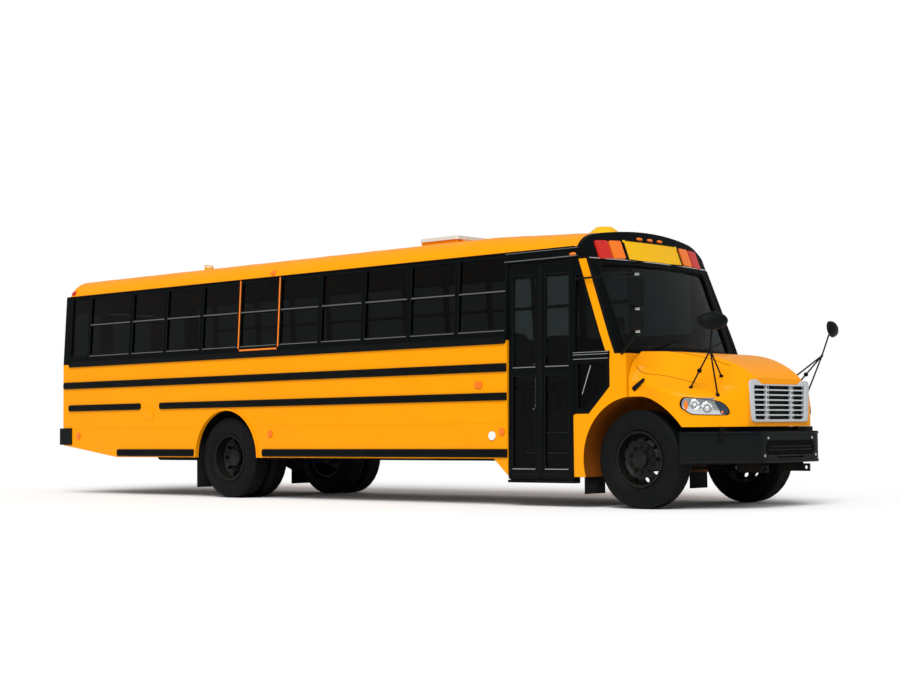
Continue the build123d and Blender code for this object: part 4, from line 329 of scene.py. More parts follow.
@dataclass(frozen=True)
class Metal(Finish):
    """Bare, brushed or plated metal.

    Attributes:
        colour: Colour of the metal.
        roughness: Mean roughness.
        brushing: Stretch of the polishing marks, none at nought.
    """

    colour: Colour
    roughness: float
    brushing: float = 0.0

    def draw(self, sheet: Sheet) -> None:
        """Draw the metal and its polishing marks."""
        scale = (12.0, 12.0, 12.0 * (1.0 + self.brushing))
        stretched = sheet.node("ShaderNodeMapping", {}, {"Vector": sheet.place(), "Scale": scale})
        sockets = {"Vector": stretched, "Scale": 9.0, "Detail": 5.0}
        marks = sheet.node("ShaderNodeTexNoise", {}, sockets)
        dim = tuple(value * 0.8 for value in self.colour)
        sheet.use("Base Color", sheet.blend(marks, self.colour, dim))
        sheet.use("Metallic", 1.0)
        sheet.use("Roughness", (self.roughness + (marks - 0.5) * 0.2).clamp(0.03, 1.0))


@dataclass(frozen=True)
class Glazing(Finish):
    """Tinted safety glass with a faint film of dust.

    Attributes:
        tint: Colour of the light that passes.
    """

    tint: Colour

    def draw(self, sheet: Sheet) -> None:
        """Draw the glass and its film."""
        film = sheet.ramp(sheet.noise(3.0, 6.0), 0.45, 0.85)
        sheet.use("Base Color", sheet.blend(film * 0.05, self.tint, linear(150, 150, 145)))
        sheet.use("Roughness", (film * 0.04 + 0.01).clamp())
        sheet.use("Transmission Weight", 1.0)
        sheet.use("IOR", 1.2)


@dataclass(frozen=True)
class Lens(Finish):
    """Coloured lamp lens with pressed ribs and a bright coat.

    Attributes:
        colour: Colour of the plastic.
        glow: Colour of the light that it seems to hold.
        ribs: Ribs a metre.
    """

    colour: Colour
    glow: Colour
    ribs: float

    def draw(self, sheet: Sheet) -> None:
        """Draw the lens and its ribs."""
        settings = {"wave_type": "BANDS", "bands_direction": "DIAGONAL"}
        sockets = {"Vector": sheet.place(), "Scale": self.ribs}
        ribs = sheet.node("ShaderNodeTexWave", settings, sockets, 1)
        sheet.use("Base Color", sheet.blend(ribs * 0.55, self.colour, self.glow))
        sheet.use("Roughness", (0.12 + ribs * 0.1).clamp())
        sheet.use("Specular IOR Level", 0.2)
        sheet.use("Coat Weight", 0.25)
        sheet.bump(ribs, 0.35, 0.002)


@dataclass(frozen=True)
class TyreRubber(Finish):
    """Tyre rubber with dust and a fine grain."""

    def draw(self, sheet: Sheet) -> None:
        """Draw the rubber and its dust."""
        dust = sheet.ramp(sheet.noise(5.0, 6.0), 0.42, 0.8)
        sheet.use("Base Color", sheet.blend(dust * 0.35, linear(12, 14, 15), linear(26, 27, 26)))
        sheet.use("Roughness", (0.55 + dust * 0.25).clamp())
        sheet.use("Specular IOR Level", 0.08)
        sheet.bump(sheet.noise(260.0, 4.0), 0.2, 0.0012)


@dataclass(frozen=True)
class SeatVinyl(Finish):
    """Padded vinyl with a leather grain.

    Attributes:
        colour: Main colour.
        shade: Colour painted into the creases as shade, and of the worn places.
    """

    colour: Colour
    shade: Colour

    def draw(self, sheet: Sheet) -> None:
        """Draw the vinyl, its creases and the painted shade in them."""
        sockets = {"Vector": sheet.place(), "Scale": 220.0, "Randomness": 0.9}
        cells = sheet.node("ShaderNodeTexVoronoi", {"feature": "DISTANCE_TO_EDGE"}, sockets)
        # Painted shade: the creases take the darker colour; they are also made rougher
        crease = 1.0 - sheet.ramp(cells, 0.0, 0.12)
        worn = sheet.ramp(sheet.noise(4.0, 5.0), 0.45, 0.8)
        mix = (crease * 0.5 + worn * 0.3).clamp()
        sheet.use("Base Color", sheet.blend(mix, self.colour, self.shade))
        sheet.use("Roughness", (0.42 + crease * 0.2).clamp())
        sheet.bump(cells, 0.3, 0.0015)


def oval(wide: float, high: float, count: int = 28) -> Outline:
    """Points round an oval of two half sizes."""
    turns = [math.tau * k / count for k in range(count)]
    return [(wide * math.cos(t), high * math.sin(t)) for t in turns]


def stadium(straight: float, wide: float, high: float, count: int) -> Outline:
    """Points round an oval that is pulled apart by half a straight length."""
    return [(math.copysign(straight, a) + a, b) for a, b in oval(wide, high, count)]


def rounded(wide: float, high: float, corner: float, steps: int) -> Outline:
    """Points round a box of two half sizes whose corners are arcs of some steps."""
    found = []
    for k, (u, v) in enumerate(((1, 1), (-1, 1), (-1, -1), (1, -1))):
        for i in range(steps + 1):
            turn = math.radians(90 * k + 90 / steps * i)
            across = u * (wide - corner) + corner * math.cos(turn)
            found.append((across, v * (high - corner) + corner * math.sin(turn)))
    return found


def border(low: Point, high: Point, width: float) -> list[tuple[Point, Point]]:
    """Lowest and highest corners of the four bars round an opening."""
    (u0, v0), (u1, v1) = low, high
    return [
        ((u0 - width, v0 - width), (u0, v1 + width)),
        ((u1, v0 - width), (u1 + width, v1 + width)),
        ((u0, v0 - width), (u1, v0)),
        ((u0, v1), (u1, v1 + width)),
    ]


def mixed(first: Sequence[Point], second: Sequence[Point], share: float) -> Outline:
    """Outline that lies some share of the way from one to another."""
    pairs = zip(first, second)
    return [(a[0] + (b[0] - a[0]) * share, a[1] + (b[1] - a[1]) * share) for a, b in pairs]


def flowing(points: Sequence[Point], steps: int = 4) -> list[Vector]:
    """Round a closed row of points off by a curve that passes through each.

    Args:
        points: Corner points.
        steps: Points from one corner to the next.

    Returns:
        The finer closed row.
    """
    row = [Vector(point) for point in points]
    count = len(row)
    found = []
    for i in range(count):
        a, b, c, d = (row[(i + k) % count] for k in (-1, 0, 1, 2))
        square, cube = 2 * a - 5 * b + 4 * c - d, 3 * b - a - 3 * c + d
        for t in (j / steps for j in range(steps)):
            found.append((2 * b + (c - a) * t + square * t**2 + cube * t**3) / 2)
    return found


class Shop:
    """Collects the faces of one piece and turns them into an object."""

    def __init__(self) -> None:
        """Start with no faces."""
        self.mesh = bmesh.new()
        self.made: "bpy.types.Object | None" = None

    def ring(self, points: Iterable[Point]) -> list:
        """Add a row of vertices."""
        return [self.mesh.verts.new(Vector(point)) for point in points]

    def bridge(self, first: list, second: list) -> None:
        """Join two closed rows of vertices by faces."""
        count = len(first)
        for i in range(count):
            j = (i + 1) % count
            self.mesh.faces.new((first[i], first[j], second[j], second[i]))

    def loft(self, rows: Sequence[Sequence[Point]]) -> None:
        """Skin a run of closed rows, with flat ends."""
        rings = [self.ring(row) for row in rows]
        for first, second in zip(rings, rings[1:]):
            self.bridge(first, second)
        self.mesh.faces.new(list(reversed(rings[0])))
        self.mesh.faces.new(rings[-1])

    def tube(self, path: Sequence[Point], radius: float, sides: int = 12) -> None:
        """Add a round bar along a path.

        Args:
            path: Points along its middle.
            radius: Radius of the bar.
            sides: Facets round it.
        """
        points = [Vector(p) for p in path]
        rows = []
        side = None
        for i, point in enumerate(points):
            run = (points[min(i + 1, len(points) - 1)] - points[max(i - 1, 0)]).normalized()
            side = run.orthogonal() if side is None else side - run * side.dot(run)
            side.normalize()
            up = run.cross(side)
            rows.append([point + a * side + b * up for a, b in oval(radius, radius, sides)])
        self.loft(rows)

    def slab(self, low: Point, high: Point, edge: float = 0.0) -> None:
        """Add a block with bevelled edges between two corners."""
        middle = (Vector(low) + Vector(high)) / 2
        sizes = Vector(high) - Vector(low)
        made = bmesh.ops.create_cube(self.mesh, size=1.0)
        for vert in made["verts"]:
            vert.co = Vector(vert.co[i] * abs(sizes[i]) for i in range(3)) + middle
        if edge:
            edges = list({e for v in made["verts"] for e in v.link_edges})
            bmesh.ops.bevel(self.mesh, geom=edges, offset=edge, segments=2, profile=0.7, affect="EDGES")

    def lathe(
        self,
        centre: Point,
        axis: Point,
        profile: Sequence[Point],
        turns: int,
        top: bool = False,
        foot: bool = False,
    ) -> list:
        """Spin a profile of radius and place along an axis.

        Args:
            centre: Point on the axis.
            axis: Direction of the axis.
            profile: Rows of radius and place along the axis.
            turns: Facets round the axis.
            top: Whether the last row is closed.
            foot: Whether the first row is closed.

        Returns:
            The rows of vertices, one a profile point.
        """
        middle, along = Vector(centre), Vector(axis).normalized()
        u = along.orthogonal().normalized()
        v = along.cross(u)
        rows = []
        for radius, place in profile:
            start = middle + along * place
            rows.append(self.ring(start + a * u + b * v for a, b in oval(radius, radius, turns)))
        for first, second in zip(rows, rows[1:]):
            self.bridge(first, second)
        if top:
            self.mesh.faces.new(rows[-1])
        if foot:
            self.mesh.faces.new(list(reversed(rows[0])))
        return rows

    def stud(self, centre: Point, axis: Point, radius: float, height: float, sides: int = 8) -> None:
        """Add a domed rivet or bolt head that stands on a surface."""
        # Columns: share of the radius, share of the height
        shares = ((1.0, -0.3), (1.0, 0.35), (0.62, 0.85), (0.12, 1.0))
        profile = [(radius * a, height * b) for a, b in shares]
        self.lathe(centre, axis, profile, sides, True, True)

    def ball(self, centre: Point, radius: float, bands: int = 8) -> None:
        """Add a ball."""
        turns = [math.pi * k / bands for k in range(1, bands)]
        profile = [(radius * math.sin(t), -radius * math.cos(t)) for t in turns]
        self.lathe(centre, UP, profile, 2 * bands, True, True)

    def nut(self, centre: Point, axis: Point, radius: float, height: float) -> None:
        """Add a hexagon nut with a stub of its stud."""
        hexagon = [(radius, 0.0), (radius, 0.8 * height), (0.8 * radius, height)]
        self.lathe(centre, axis, hexagon, 6, True, True)
        stub = [(0.5 * radius, 0.9 * height), (0.45 * radius, 1.5 * height)]
        self.lathe(centre, axis, stub, 10, True)

    def done(
        self, name: str, finish: bpy.types.Material, body: Body, smooth: float
    ) -> None:
        """Make the object and let it ride on its body.

        Args:
            name: Name of the piece.
            finish: Material of the piece.
            body: Body that it moves with.
            smooth: Angle in degrees below which edges are shaded smooth.
        """
        bmesh.ops.recalc_face_normals(self.mesh, faces=self.mesh.faces)
        data = bpy.data.meshes.new(name)
        self.mesh.to_mesh(data)
        self.mesh.free()
        data.polygons.foreach_set("use_smooth", [True] * len(data.polygons))
        data.set_sharp_from_angle(angle=math.radians(smooth))
        data.materials.append(finish)
        self.made = bpy.data.objects.new(name, data)
        bpy.context.scene.collection.objects.link(self.made)
        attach(self.made, body.value)
        LOG.info("%s: %d faces", name, len(data.polygons))


class Skin:
    """Outer surface of some nodes, found by shooting at it."""

    def __init__(self, *nodes: bpy.types.Object) -> None:
        """Index the faces of one or more nodes."""
        corners, faces = [], []
        for node in nodes:
            base = len(corners)
            corners += [vert.co for vert in node.data.vertices]
            faces += [[base + i for i in face.vertices] for face in node.data.polygons]
        self.tree = BVHTree.FromPolygons(corners, faces)

    def hit(self, start: Point, heading: Point) -> "tuple[Vector, Vector] | None":
        """Return the point and normal that a shot meets, if any."""
        place, normal, _, _ = self.tree.ray_cast(Vector(start), Vector(heading).normalized())
        if place is None:
            return None
        return place, normal if normal.dot(Vector(heading)) < 0 else -normal

    def trail(self, starts: Iterable[Point], heading: Point, offset: Point) -> list[Vector]:
        """Return the points that a row of shots meets, each moved by an offset."""
        found = [self.hit(start, heading) for start in starts]
        return [met[0] + Vector(offset) for met in found if met]

    def line(self, points: Sequence[Point], heading: Point, lift: float, steps: int) -> list[Vector]:
        """Lay a run of points on the surface.

        Args:
            points: Corner points that are shot at the surface.
            heading: Direction of the shots.
            lift: Height above the surface.
            steps: Points between two corners.

        Returns:
            The points that met the surface.
        """
        apart = 0.004
        found = []
        for first, second in zip(points, points[1:]):
            for i in range(steps + 1):
                met = self.hit(Vector(first).lerp(Vector(second), i / steps), heading)
                if met and (not found or (met[0] - found[-1]).length > apart):
                    found.append(met[0] + met[1] * lift)
        return found

    def bead(
        self,
        shop: Shop,
        points: Sequence[Point],
        heading: Point,
        lift: float,
        radius: float,
        steps: int = 24,
        sides: int = 6,
    ) -> None:
        """Add a round bead that lies on the surface.

        Args:
            shop: Piece that takes the bead.
            points: Corner points that are shot at the surface.
            heading: Direction of the shots.
            lift: Height of the bead's middle above the surface.
            radius: Radius of the bead.
            steps: Points between two corners.
            sides: Facets round it.
        """
        line = self.line(points, heading, lift, steps)
        if len(line) > 1:
            shop.tube(line, radius, sides)

    def cover(
        self, shop: Shop, outline: Sequence[Point], heading: Point, lift: float, crown: float = 0.0
    ) -> None:
        """Add a lid that follows the surface under a closed outline.

        Args:
            shop: Piece that takes the lid.
            outline: Points in front of the surface, round the lid's edge.
            heading: Direction in which they are shot at the surface.
            lift: Height of the lid's edge.
            crown: How much higher its middle stands.
        """
        points = [Vector(point) for point in outline]
        middle = sum(points, Vector()) / len(points)
        shares = (1.0, 0.9, 0.75, 0.6, 0.42, 0.24, 0.06)
        levels = [(1.0, -0.001)] + [(share, lift + crown * (1 - share**3)) for share in shares]
        rows = []
        for share, rise in levels:
            row = []
            for point in points:
                met = self.hit(middle.lerp(point, share), heading)
                if met:
                    row.append(met[0] + met[1] * rise)
                elif row:
                    row.append(row[-1])
                else:
                    row.append(rows[-1][0] if rows else point)
            rows.append(row)
        shop.loft(rows)


@dataclass(frozen=True)
class Layout:
    """Places of the bus that several sub-assemblies share, in metres.

    Attributes:
        front_axle: Place of the front axle along the bus.
        rear_axle: Place of the rear axle along the bus.
        body_rear: Rear face of the body.
        door_rear: Rear edge of the entrance.
        door_front: Front edge of the entrance.
        half: Half width of the body below the sill.
        sill: Height where the window band begins.
        eave: Height where the roof begins.
        lean: How far the band leans in between sill and eave.
        hub: Height of the wheels' middles.
        bay_count: Window bays of one width.
        wide_window: Length of the rearmost window.
        rear_post: Length of the post behind it.
        exit_bay: Bay of the push-out window.
        clear: Distance of a shot's start ahead of the front axle.
    """

    front_axle: float
    rear_axle: float
    body_rear: float
    door_rear: float
    door_front: float
    half: float = 1.219
    sill: float = 1.870
    eave: float = 2.865
    lean: float = 0.058
    hub: float = 0.527
    bay_count: int = 9
    wide_window: float = 0.990
    rear_post: float = 0.600
    exit_bay: int = 3
    clear: float = 1.0

    @staticmethod
    def read() -> "Layout":
        """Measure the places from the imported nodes."""

        def middle(node: str) -> float:
            """Middle of a node along the bus."""
            low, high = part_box(node)
            return (low.x + high.x) / 2

        door_low, door_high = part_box("door_frame")
        return Layout(
            front_axle=middle("front_left_rim"),
            rear_axle=middle("rear_left_rims"),
            body_rear=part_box("right_side_panel")[0].x,
            door_rear=door_low.x,
            door_front=door_high.x,
        )

    @property
    def before(self) -> float:
        """Place ahead of the windshield, where shots at the cap and the glass start."""
        return self.front_axle + self.clear

    def skin(self, z: float) -> float:
        """Half width of the outer skin at a height."""
        return self.half - self.lean * max(0.0, z - self.sill) / (self.eave - self.sill)

    def back(self, setback: float) -> float:
        """Place along the bus, given behind the front axle."""
        return self.front_axle - setback

    def ahead(self, distance: float, y: float, z: float) -> Vector:
        """Point given ahead of the front axle."""
        return Vector((self.front_axle + distance, y, z))

    def bays(self) -> list[tuple[float, float]]:
        """Return the rear and front edge of each window bay."""
        first = self.body_rear + self.rear_post + self.wide_window
        pitch = (self.door_rear - first) / self.bay_count
        rows = [(first + i * pitch, first + (i + 1) * pitch) for i in range(self.bay_count)]
        return rows + [(first - self.wide_window, first)]


@dataclass
class Finishes:
    """Every finish of the bus, made once and given to nodes and pieces."""

    made: dict = field(init=False)

    # Columns of a paint: name, colour, shade, roughness, coat, film, shine
    CATALOGUE = (
        Paint("yellow_enamel", linear(240, 151, 0), linear(234, 142, 0), 0.32, 0.05, 0.08, 0.06),
        Paint("black_enamel", linear(9, 12, 13), linear(13, 16, 17), 0.38, 0.0, 0.05, 0.03),
        Paint("white_enamel", linear(206, 205, 198), linear(186, 185, 178), 0.4, 0.2, 0.1),
        Paint("chassis_black", linear(12, 12, 13), linear(21, 20, 19), 0.55, 0.0, 0.12, 0.06),
        # Painted shade: the yellow paint darkened to brown, as it looks in the shadow of a front wheel arch
        Paint("arch_shade", linear(118, 60, 4), linear(96, 50, 6), 0.55, 0.0, 0.12, 0.06),
        Paint("wheel_black", linear(11, 13, 14), linear(20, 22, 22), 0.42, 0.0, 0.08, 0.15),
        Paint("bumper_black", linear(13, 17, 18), linear(20, 24, 25), 0.38, 0.0, 0.06, 0.06),
        Paint("signal_red", linear(178, 20, 24), linear(160, 14, 18), 0.35, 0.05, 0.05, 0.1),
        Paint("sign_yellow", linear(232, 178, 8), linear(224, 168, 4), 0.35, 0.1, 0.0, 0.15),
        Paint("exit_orange", linear(238, 124, 22), linear(226, 110, 14), 0.35, 0.2, 0.0),
        Paint("grille_silver", linear(184, 188, 190), linear(168, 172, 175), 0.32, 0.2, 0.0),
        # Columns of a moulding: name, colour, shade, roughness, grain, depth
        Moulding("rail_black", linear(9, 12, 13), linear(17, 20, 21), 0.5, 500.0, 0.0004),
        Moulding("dark_plastic", linear(11, 14, 15), linear(20, 23, 24), 0.5, 700.0, 0.0005),
        Moulding("seal_rubber", linear(13, 15, 16), linear(24, 25, 25), 0.7, 300.0, 0.0006),
        # Painted shade for the bumper's centre slot
        Moulding("slot_black", linear(3, 4, 5), linear(6, 7, 8), 0.8, 300.0, 0.0004),
        Moulding("lamp_shade", linear(46, 56, 70), linear(66, 76, 88), 0.25, 300.0, 0.0002),
        Moulding("flap_rubber", linear(22, 22, 22), linear(46, 44, 41), 0.75, 220.0, 0.001),
        Moulding("floor_rubber", linear(32, 33, 34), linear(54, 53, 51), 0.7, 120.0, 0.0015),
        Metal("bright_plate", linear(214, 216, 218), 0.12),
        Metal("bare_steel", linear(150, 150, 148), 0.38, 6.0),
        Metal("mirror_glass", linear(226, 230, 232), 0.03),
        Metal("cast_iron", linear(70, 70, 71), 0.6),
        Glazing("tinted_glass", linear(88, 94, 94)),
        Glazing("screen_glass", linear(102, 112, 114)),
        Glazing("door_glass", linear(166, 177, 178)),
        Lens("red_lens", linear(176, 16, 18), linear(232, 60, 40), 45.0),
        Lens("amber_lens", linear(228, 96, 8), linear(252, 150, 40), 45.0),
        Lens("clear_lens", linear(214, 216, 216), linear(250, 250, 250), 70.0),
        TyreRubber("tyre_rubber"),
        SeatVinyl("seat_vinyl", linear(38, 42, 48), linear(20, 22, 26)),
    )

    NODES = {
        "yellow_enamel": "left_side_panel right_side_panel rear_wall emergency_door cowl hood_shell roof",
        "black_enamel": "left_window_band right_window_band front_cap"
        " door_rear_leaf door_front_leaf door_frame",
        "white_enamel": "roof_hatch",
        "sign_yellow": "sign_panel roof_fittings",
        "chassis_black": "frame_rails front_axle knuckle_left knuckle_right tie_rod rear_axle"
        " leaf_springs driveline fuel_tank seat_frames stop_arm_bracket",
        "wheel_black": "front_left_rim front_right_rim rear_left_rims rear_right_rims",
        "bumper_black": "front_bumper rear_bumper",
        "cast_iron": "engine_block",
        "bare_steel": "radiator exhaust",
        "tyre_rubber": "front_left_tyre front_right_tyre rear_left_tyres rear_right_tyres",
        "tinted_glass": "body_glass emergency_glass",
        "door_glass": "door_rear_glass door_front_glass",
        "screen_glass": "windshield",
        "rail_black": "rub_rails",
        "seat_vinyl": "seat_pads driver_seat",
        "floor_rubber": "floor",
        "dark_plastic": "dashboard steering_wheel side_mirrors hood_mirrors",
        "bright_plate": "headlights",
        "grille_silver": "grille",
        "red_lens": "red_lamps",
        "amber_lens": "amber_lamps",
        "clear_lens": "clear_lamps",
        "flap_rubber": "mud_flaps",
        "signal_red": "stop_arm",
    }

    # Where the hood and cowl turn inward, and how far from a front hub the brown painted shade goes:
    # distances from the front hub, then heights and a half width
    ARCH = 0.676
    ARCH_SHADE_REACH = 0.95
    HOOD_EDGE = 0.868
    COWL_SIDE = 1.1
    COWL_TOP = 1.6
    FIREWALL = (1.2, 1.67)

    def __post_init__(self) -> None:
        """Build the catalogue."""
        self.made = {finish.name: finish.build() for finish in self.CATALOGUE}

    def get(self, name: str) -> bpy.types.Material:
        """Return a finish by its name."""
        return self.made[name]

    def dress(self, nodes: dict) -> None:
        """Give each carried-over node its finish.

        Args:
            nodes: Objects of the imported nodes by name.
        """
        for finish, names in self.NODES.items():
            for name in names.split():
                data = nodes[name].data
                data.materials.clear()
                data.materials.append(self.get(finish))
                data.polygons.foreach_set("material_index", [0] * len(data.polygons))
                LOG.info("%s: %s", name, finish)

    def paint_hollow_shade(self, nodes: dict, layout: Layout) -> None:
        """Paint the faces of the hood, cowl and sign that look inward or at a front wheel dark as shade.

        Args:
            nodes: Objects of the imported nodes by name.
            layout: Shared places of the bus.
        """
        for name in ("hood_shell", "cowl", "sign_panel"):
            data = nodes[name].data
            # Two more slots that hold painted shade: chassis black, and brown for the wheel arches
            data.materials.append(self.get("chassis_black"))
            data.materials.append(self.get("arch_shade"))
            skin = Skin(nodes[name])
            for face in data.polygons:
                spot, facing = face.center, face.normal
                outward = facing.y * math.copysign(1.0, spot.y)
                reach = math.hypot(spot.x - layout.front_axle, spot.z - layout.hub)
                if name == "sign_panel":
                    shown = facing.x > 0.5
                elif name == "cowl":
                    low, high = self.FIREWALL
                    outside = outward > 0.7 and abs(spot.y) > self.COWL_SIDE
                    firewall = facing.x > 0.5 and reach > self.ARCH and low < spot.z < high
                    shown = outside or firewall or (facing.z > 0.7 and spot.z > self.COWL_TOP)
                else:
                    start = spot + facing * 0.004
                    ways = (UP, (0, math.copysign(1.0, spot.y), 0), AHEAD)
                    free = any(skin.hit(start, way) is None for way in ways)
                    arch = reach < self.ARCH and outward < 0.5
                    shown = free and not arch and spot.z > self.HOOD_EDGE
                # Hidden faces get painted shade: brown near a front hub, chassis black further off and on
                # the sign
                shade_index = 2 if name != "sign_panel" and reach < self.ARCH_SHADE_REACH else 1
                face.material_index = 0 if shown else shade_index


@dataclass
class Assembly:
    """What every sub-assembly of the bus needs.

    Attributes:
        layout: Shared places of the bus.
        finishes: Every finish by name.
        nodes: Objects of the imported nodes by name.
    """

    layout: Layout
    finishes: Finishes
    nodes: dict

    @contextmanager
    def piece(
        self,
        name: str,
        finish: str,
        body: Body = Body.CHASSIS,
        slot: "str | None" = None,
        smooth: float = 35.0,
    ) -> Iterator[Shop]:
        """Open a shop for one piece, which is made when the block ends.

        Args:
            name: Name of the piece.
            finish: Name of its finish.
            body: Body that it moves with.
            slot: Slot of the record that its finish belongs to; not used.
            smooth: Angle in degrees below which edges are shaded smooth.

        Yields:
            The shop that takes the piece's faces.
        """
        shop = Shop()
        yield shop
        shop.done(name, self.finishes.get(finish), body, smooth)

    def build(self) -> None:
        """Build the pieces of the sub-assembly."""
        raise NotImplementedError


@dataclass
class Wheels(Assembly):
    """Tyres with tread and sidewall lines, wheel nuts and hub caps."""

    radius: float = 0.527
    bead: float = 0.2868
    half_bead: float = 0.096
    groove: float = 0.013
    turns: int = 168
    shoulder: float = 0.06
    centre_rib: float = 0.03
    notch_pitch: int = 6
    front_tracks: tuple = (1.010,)
    rear_tracks: tuple = (0.715, 1.045)
    nut_circle: float = 0.1425
    nut_count: int = 10
    bolt_count: int = 8

    def profile(self) -> Outline:
        """Return the outline of a tyre as radius and place, from bead round to bead."""
        r, deep = self.radius, self.radius - self.groove
        half = [(self.bead, self.half_bead), (0.304, self.half_bead)]
        half += [(0.318, 0.112), (0.352, 0.131), (0.372, 0.136), (0.376, 0.139), (0.382, 0.139)]
        half += [(0.386, 0.1385), (0.430, 0.1365), (0.466, 0.129), (0.470, 0.131), (0.478, 0.130)]
        half += [(0.482, 0.125), (0.506, 0.118), (0.519, 0.110), (r, 0.0945)]
        for outer, inner in ((0.068, 0.056), (0.025, 0.013)):
            half += [(r, outer), (deep, outer - 0.002), (deep, inner + 0.002), (r, inner)]
        return half + [(a, -b) for a, b in reversed(half)]

    def tyre(self, shop: Shop, centre: Point) -> None:
        """Add one tyre with notched shoulders and a cut middle rib."""
        rows = shop.lathe(centre, LEFTWARD, self.profile(), self.turns)
        shop.bridge(rows[-1], rows[0])
        middle = Vector(centre)
        for row, (radius, place) in zip(rows, self.profile()):
            shoulder, rib = abs(place) > self.shoulder, abs(place) < self.centre_rib
            if radius < self.radius - 0.01 or not (shoulder or rib):
                continue
            cuts, depth = ((0, 1), 0.12) if shoulder else ((3,), 0.6)
            for k, vert in enumerate(row):
                if k % self.notch_pitch in cuts:
                    inward = middle - vert.co
                    inward.y = 0.0
                    vert.co += inward.normalized() * self.groove * depth

    def around(self, axle: float, y: float, radius: float, turn: float) -> Point:
        """Point on a circle round a hub."""
        return axle + radius * math.cos(turn), y, self.layout.hub + radius * math.sin(turn)

    def build(self) -> None:
        """Build every wheel's pieces."""
        fronts, rears = (Body.FRONT_LEFT, Body.FRONT_RIGHT), (Body.REAR_LEFT, Body.REAR_RIGHT)
        # Columns: axle, tyres' middles, seat of the nuts, seat and radius of the hub cap, bodies
        for axle, tracks, nut_seat, cap_seat, cap, bodies in (
            (self.layout.front_axle, self.front_tracks, 1.072, 1.105, 0.093, fronts),
            (self.layout.rear_axle, self.rear_tracks, 0.997, 1.065, 0.112, rears),
        ):
            # Columns: radius, place along the axle
            profile = [(cap, 0.0), (cap, 0.012), (cap * 0.75, 0.02), (cap * 0.3, 0.024), (0.01, 0.025)]
            for side, body in zip(SIDES, bodies):
                tyre, out = body.value.replace("wheel", "tyre"), (0, side, 0)
                with self.piece(f"{tyre}_tread", "tyre_rubber", body, "tyre_rubber", 28.0) as shop:
                    for track in tracks:
                        self.tyre(shop, (axle, side * track, self.layout.hub))
                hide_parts(tyre)
                with self.piece(f"{body.value}_nuts", "wheel_black", body, "wheel_paint") as shop:
                    for k in range(self.nut_count):
                        turn = math.tau * (k + 0.5) / self.nut_count
                        spot = self.around(axle, side * nut_seat, self.nut_circle, turn)
                        shop.nut(spot, out, 0.019, 0.024)
                    centre = (axle, side * cap_seat, self.layout.hub)
                    shop.lathe(centre, out, profile, 40, True)
                    for k in range(self.bolt_count):
                        turn = math.tau * k / self.bolt_count
                        spot = self.around(axle, side * (cap_seat + 0.014), cap * 0.86, turn)
                        shop.stud(spot, out, 0.009, 0.008, 6)


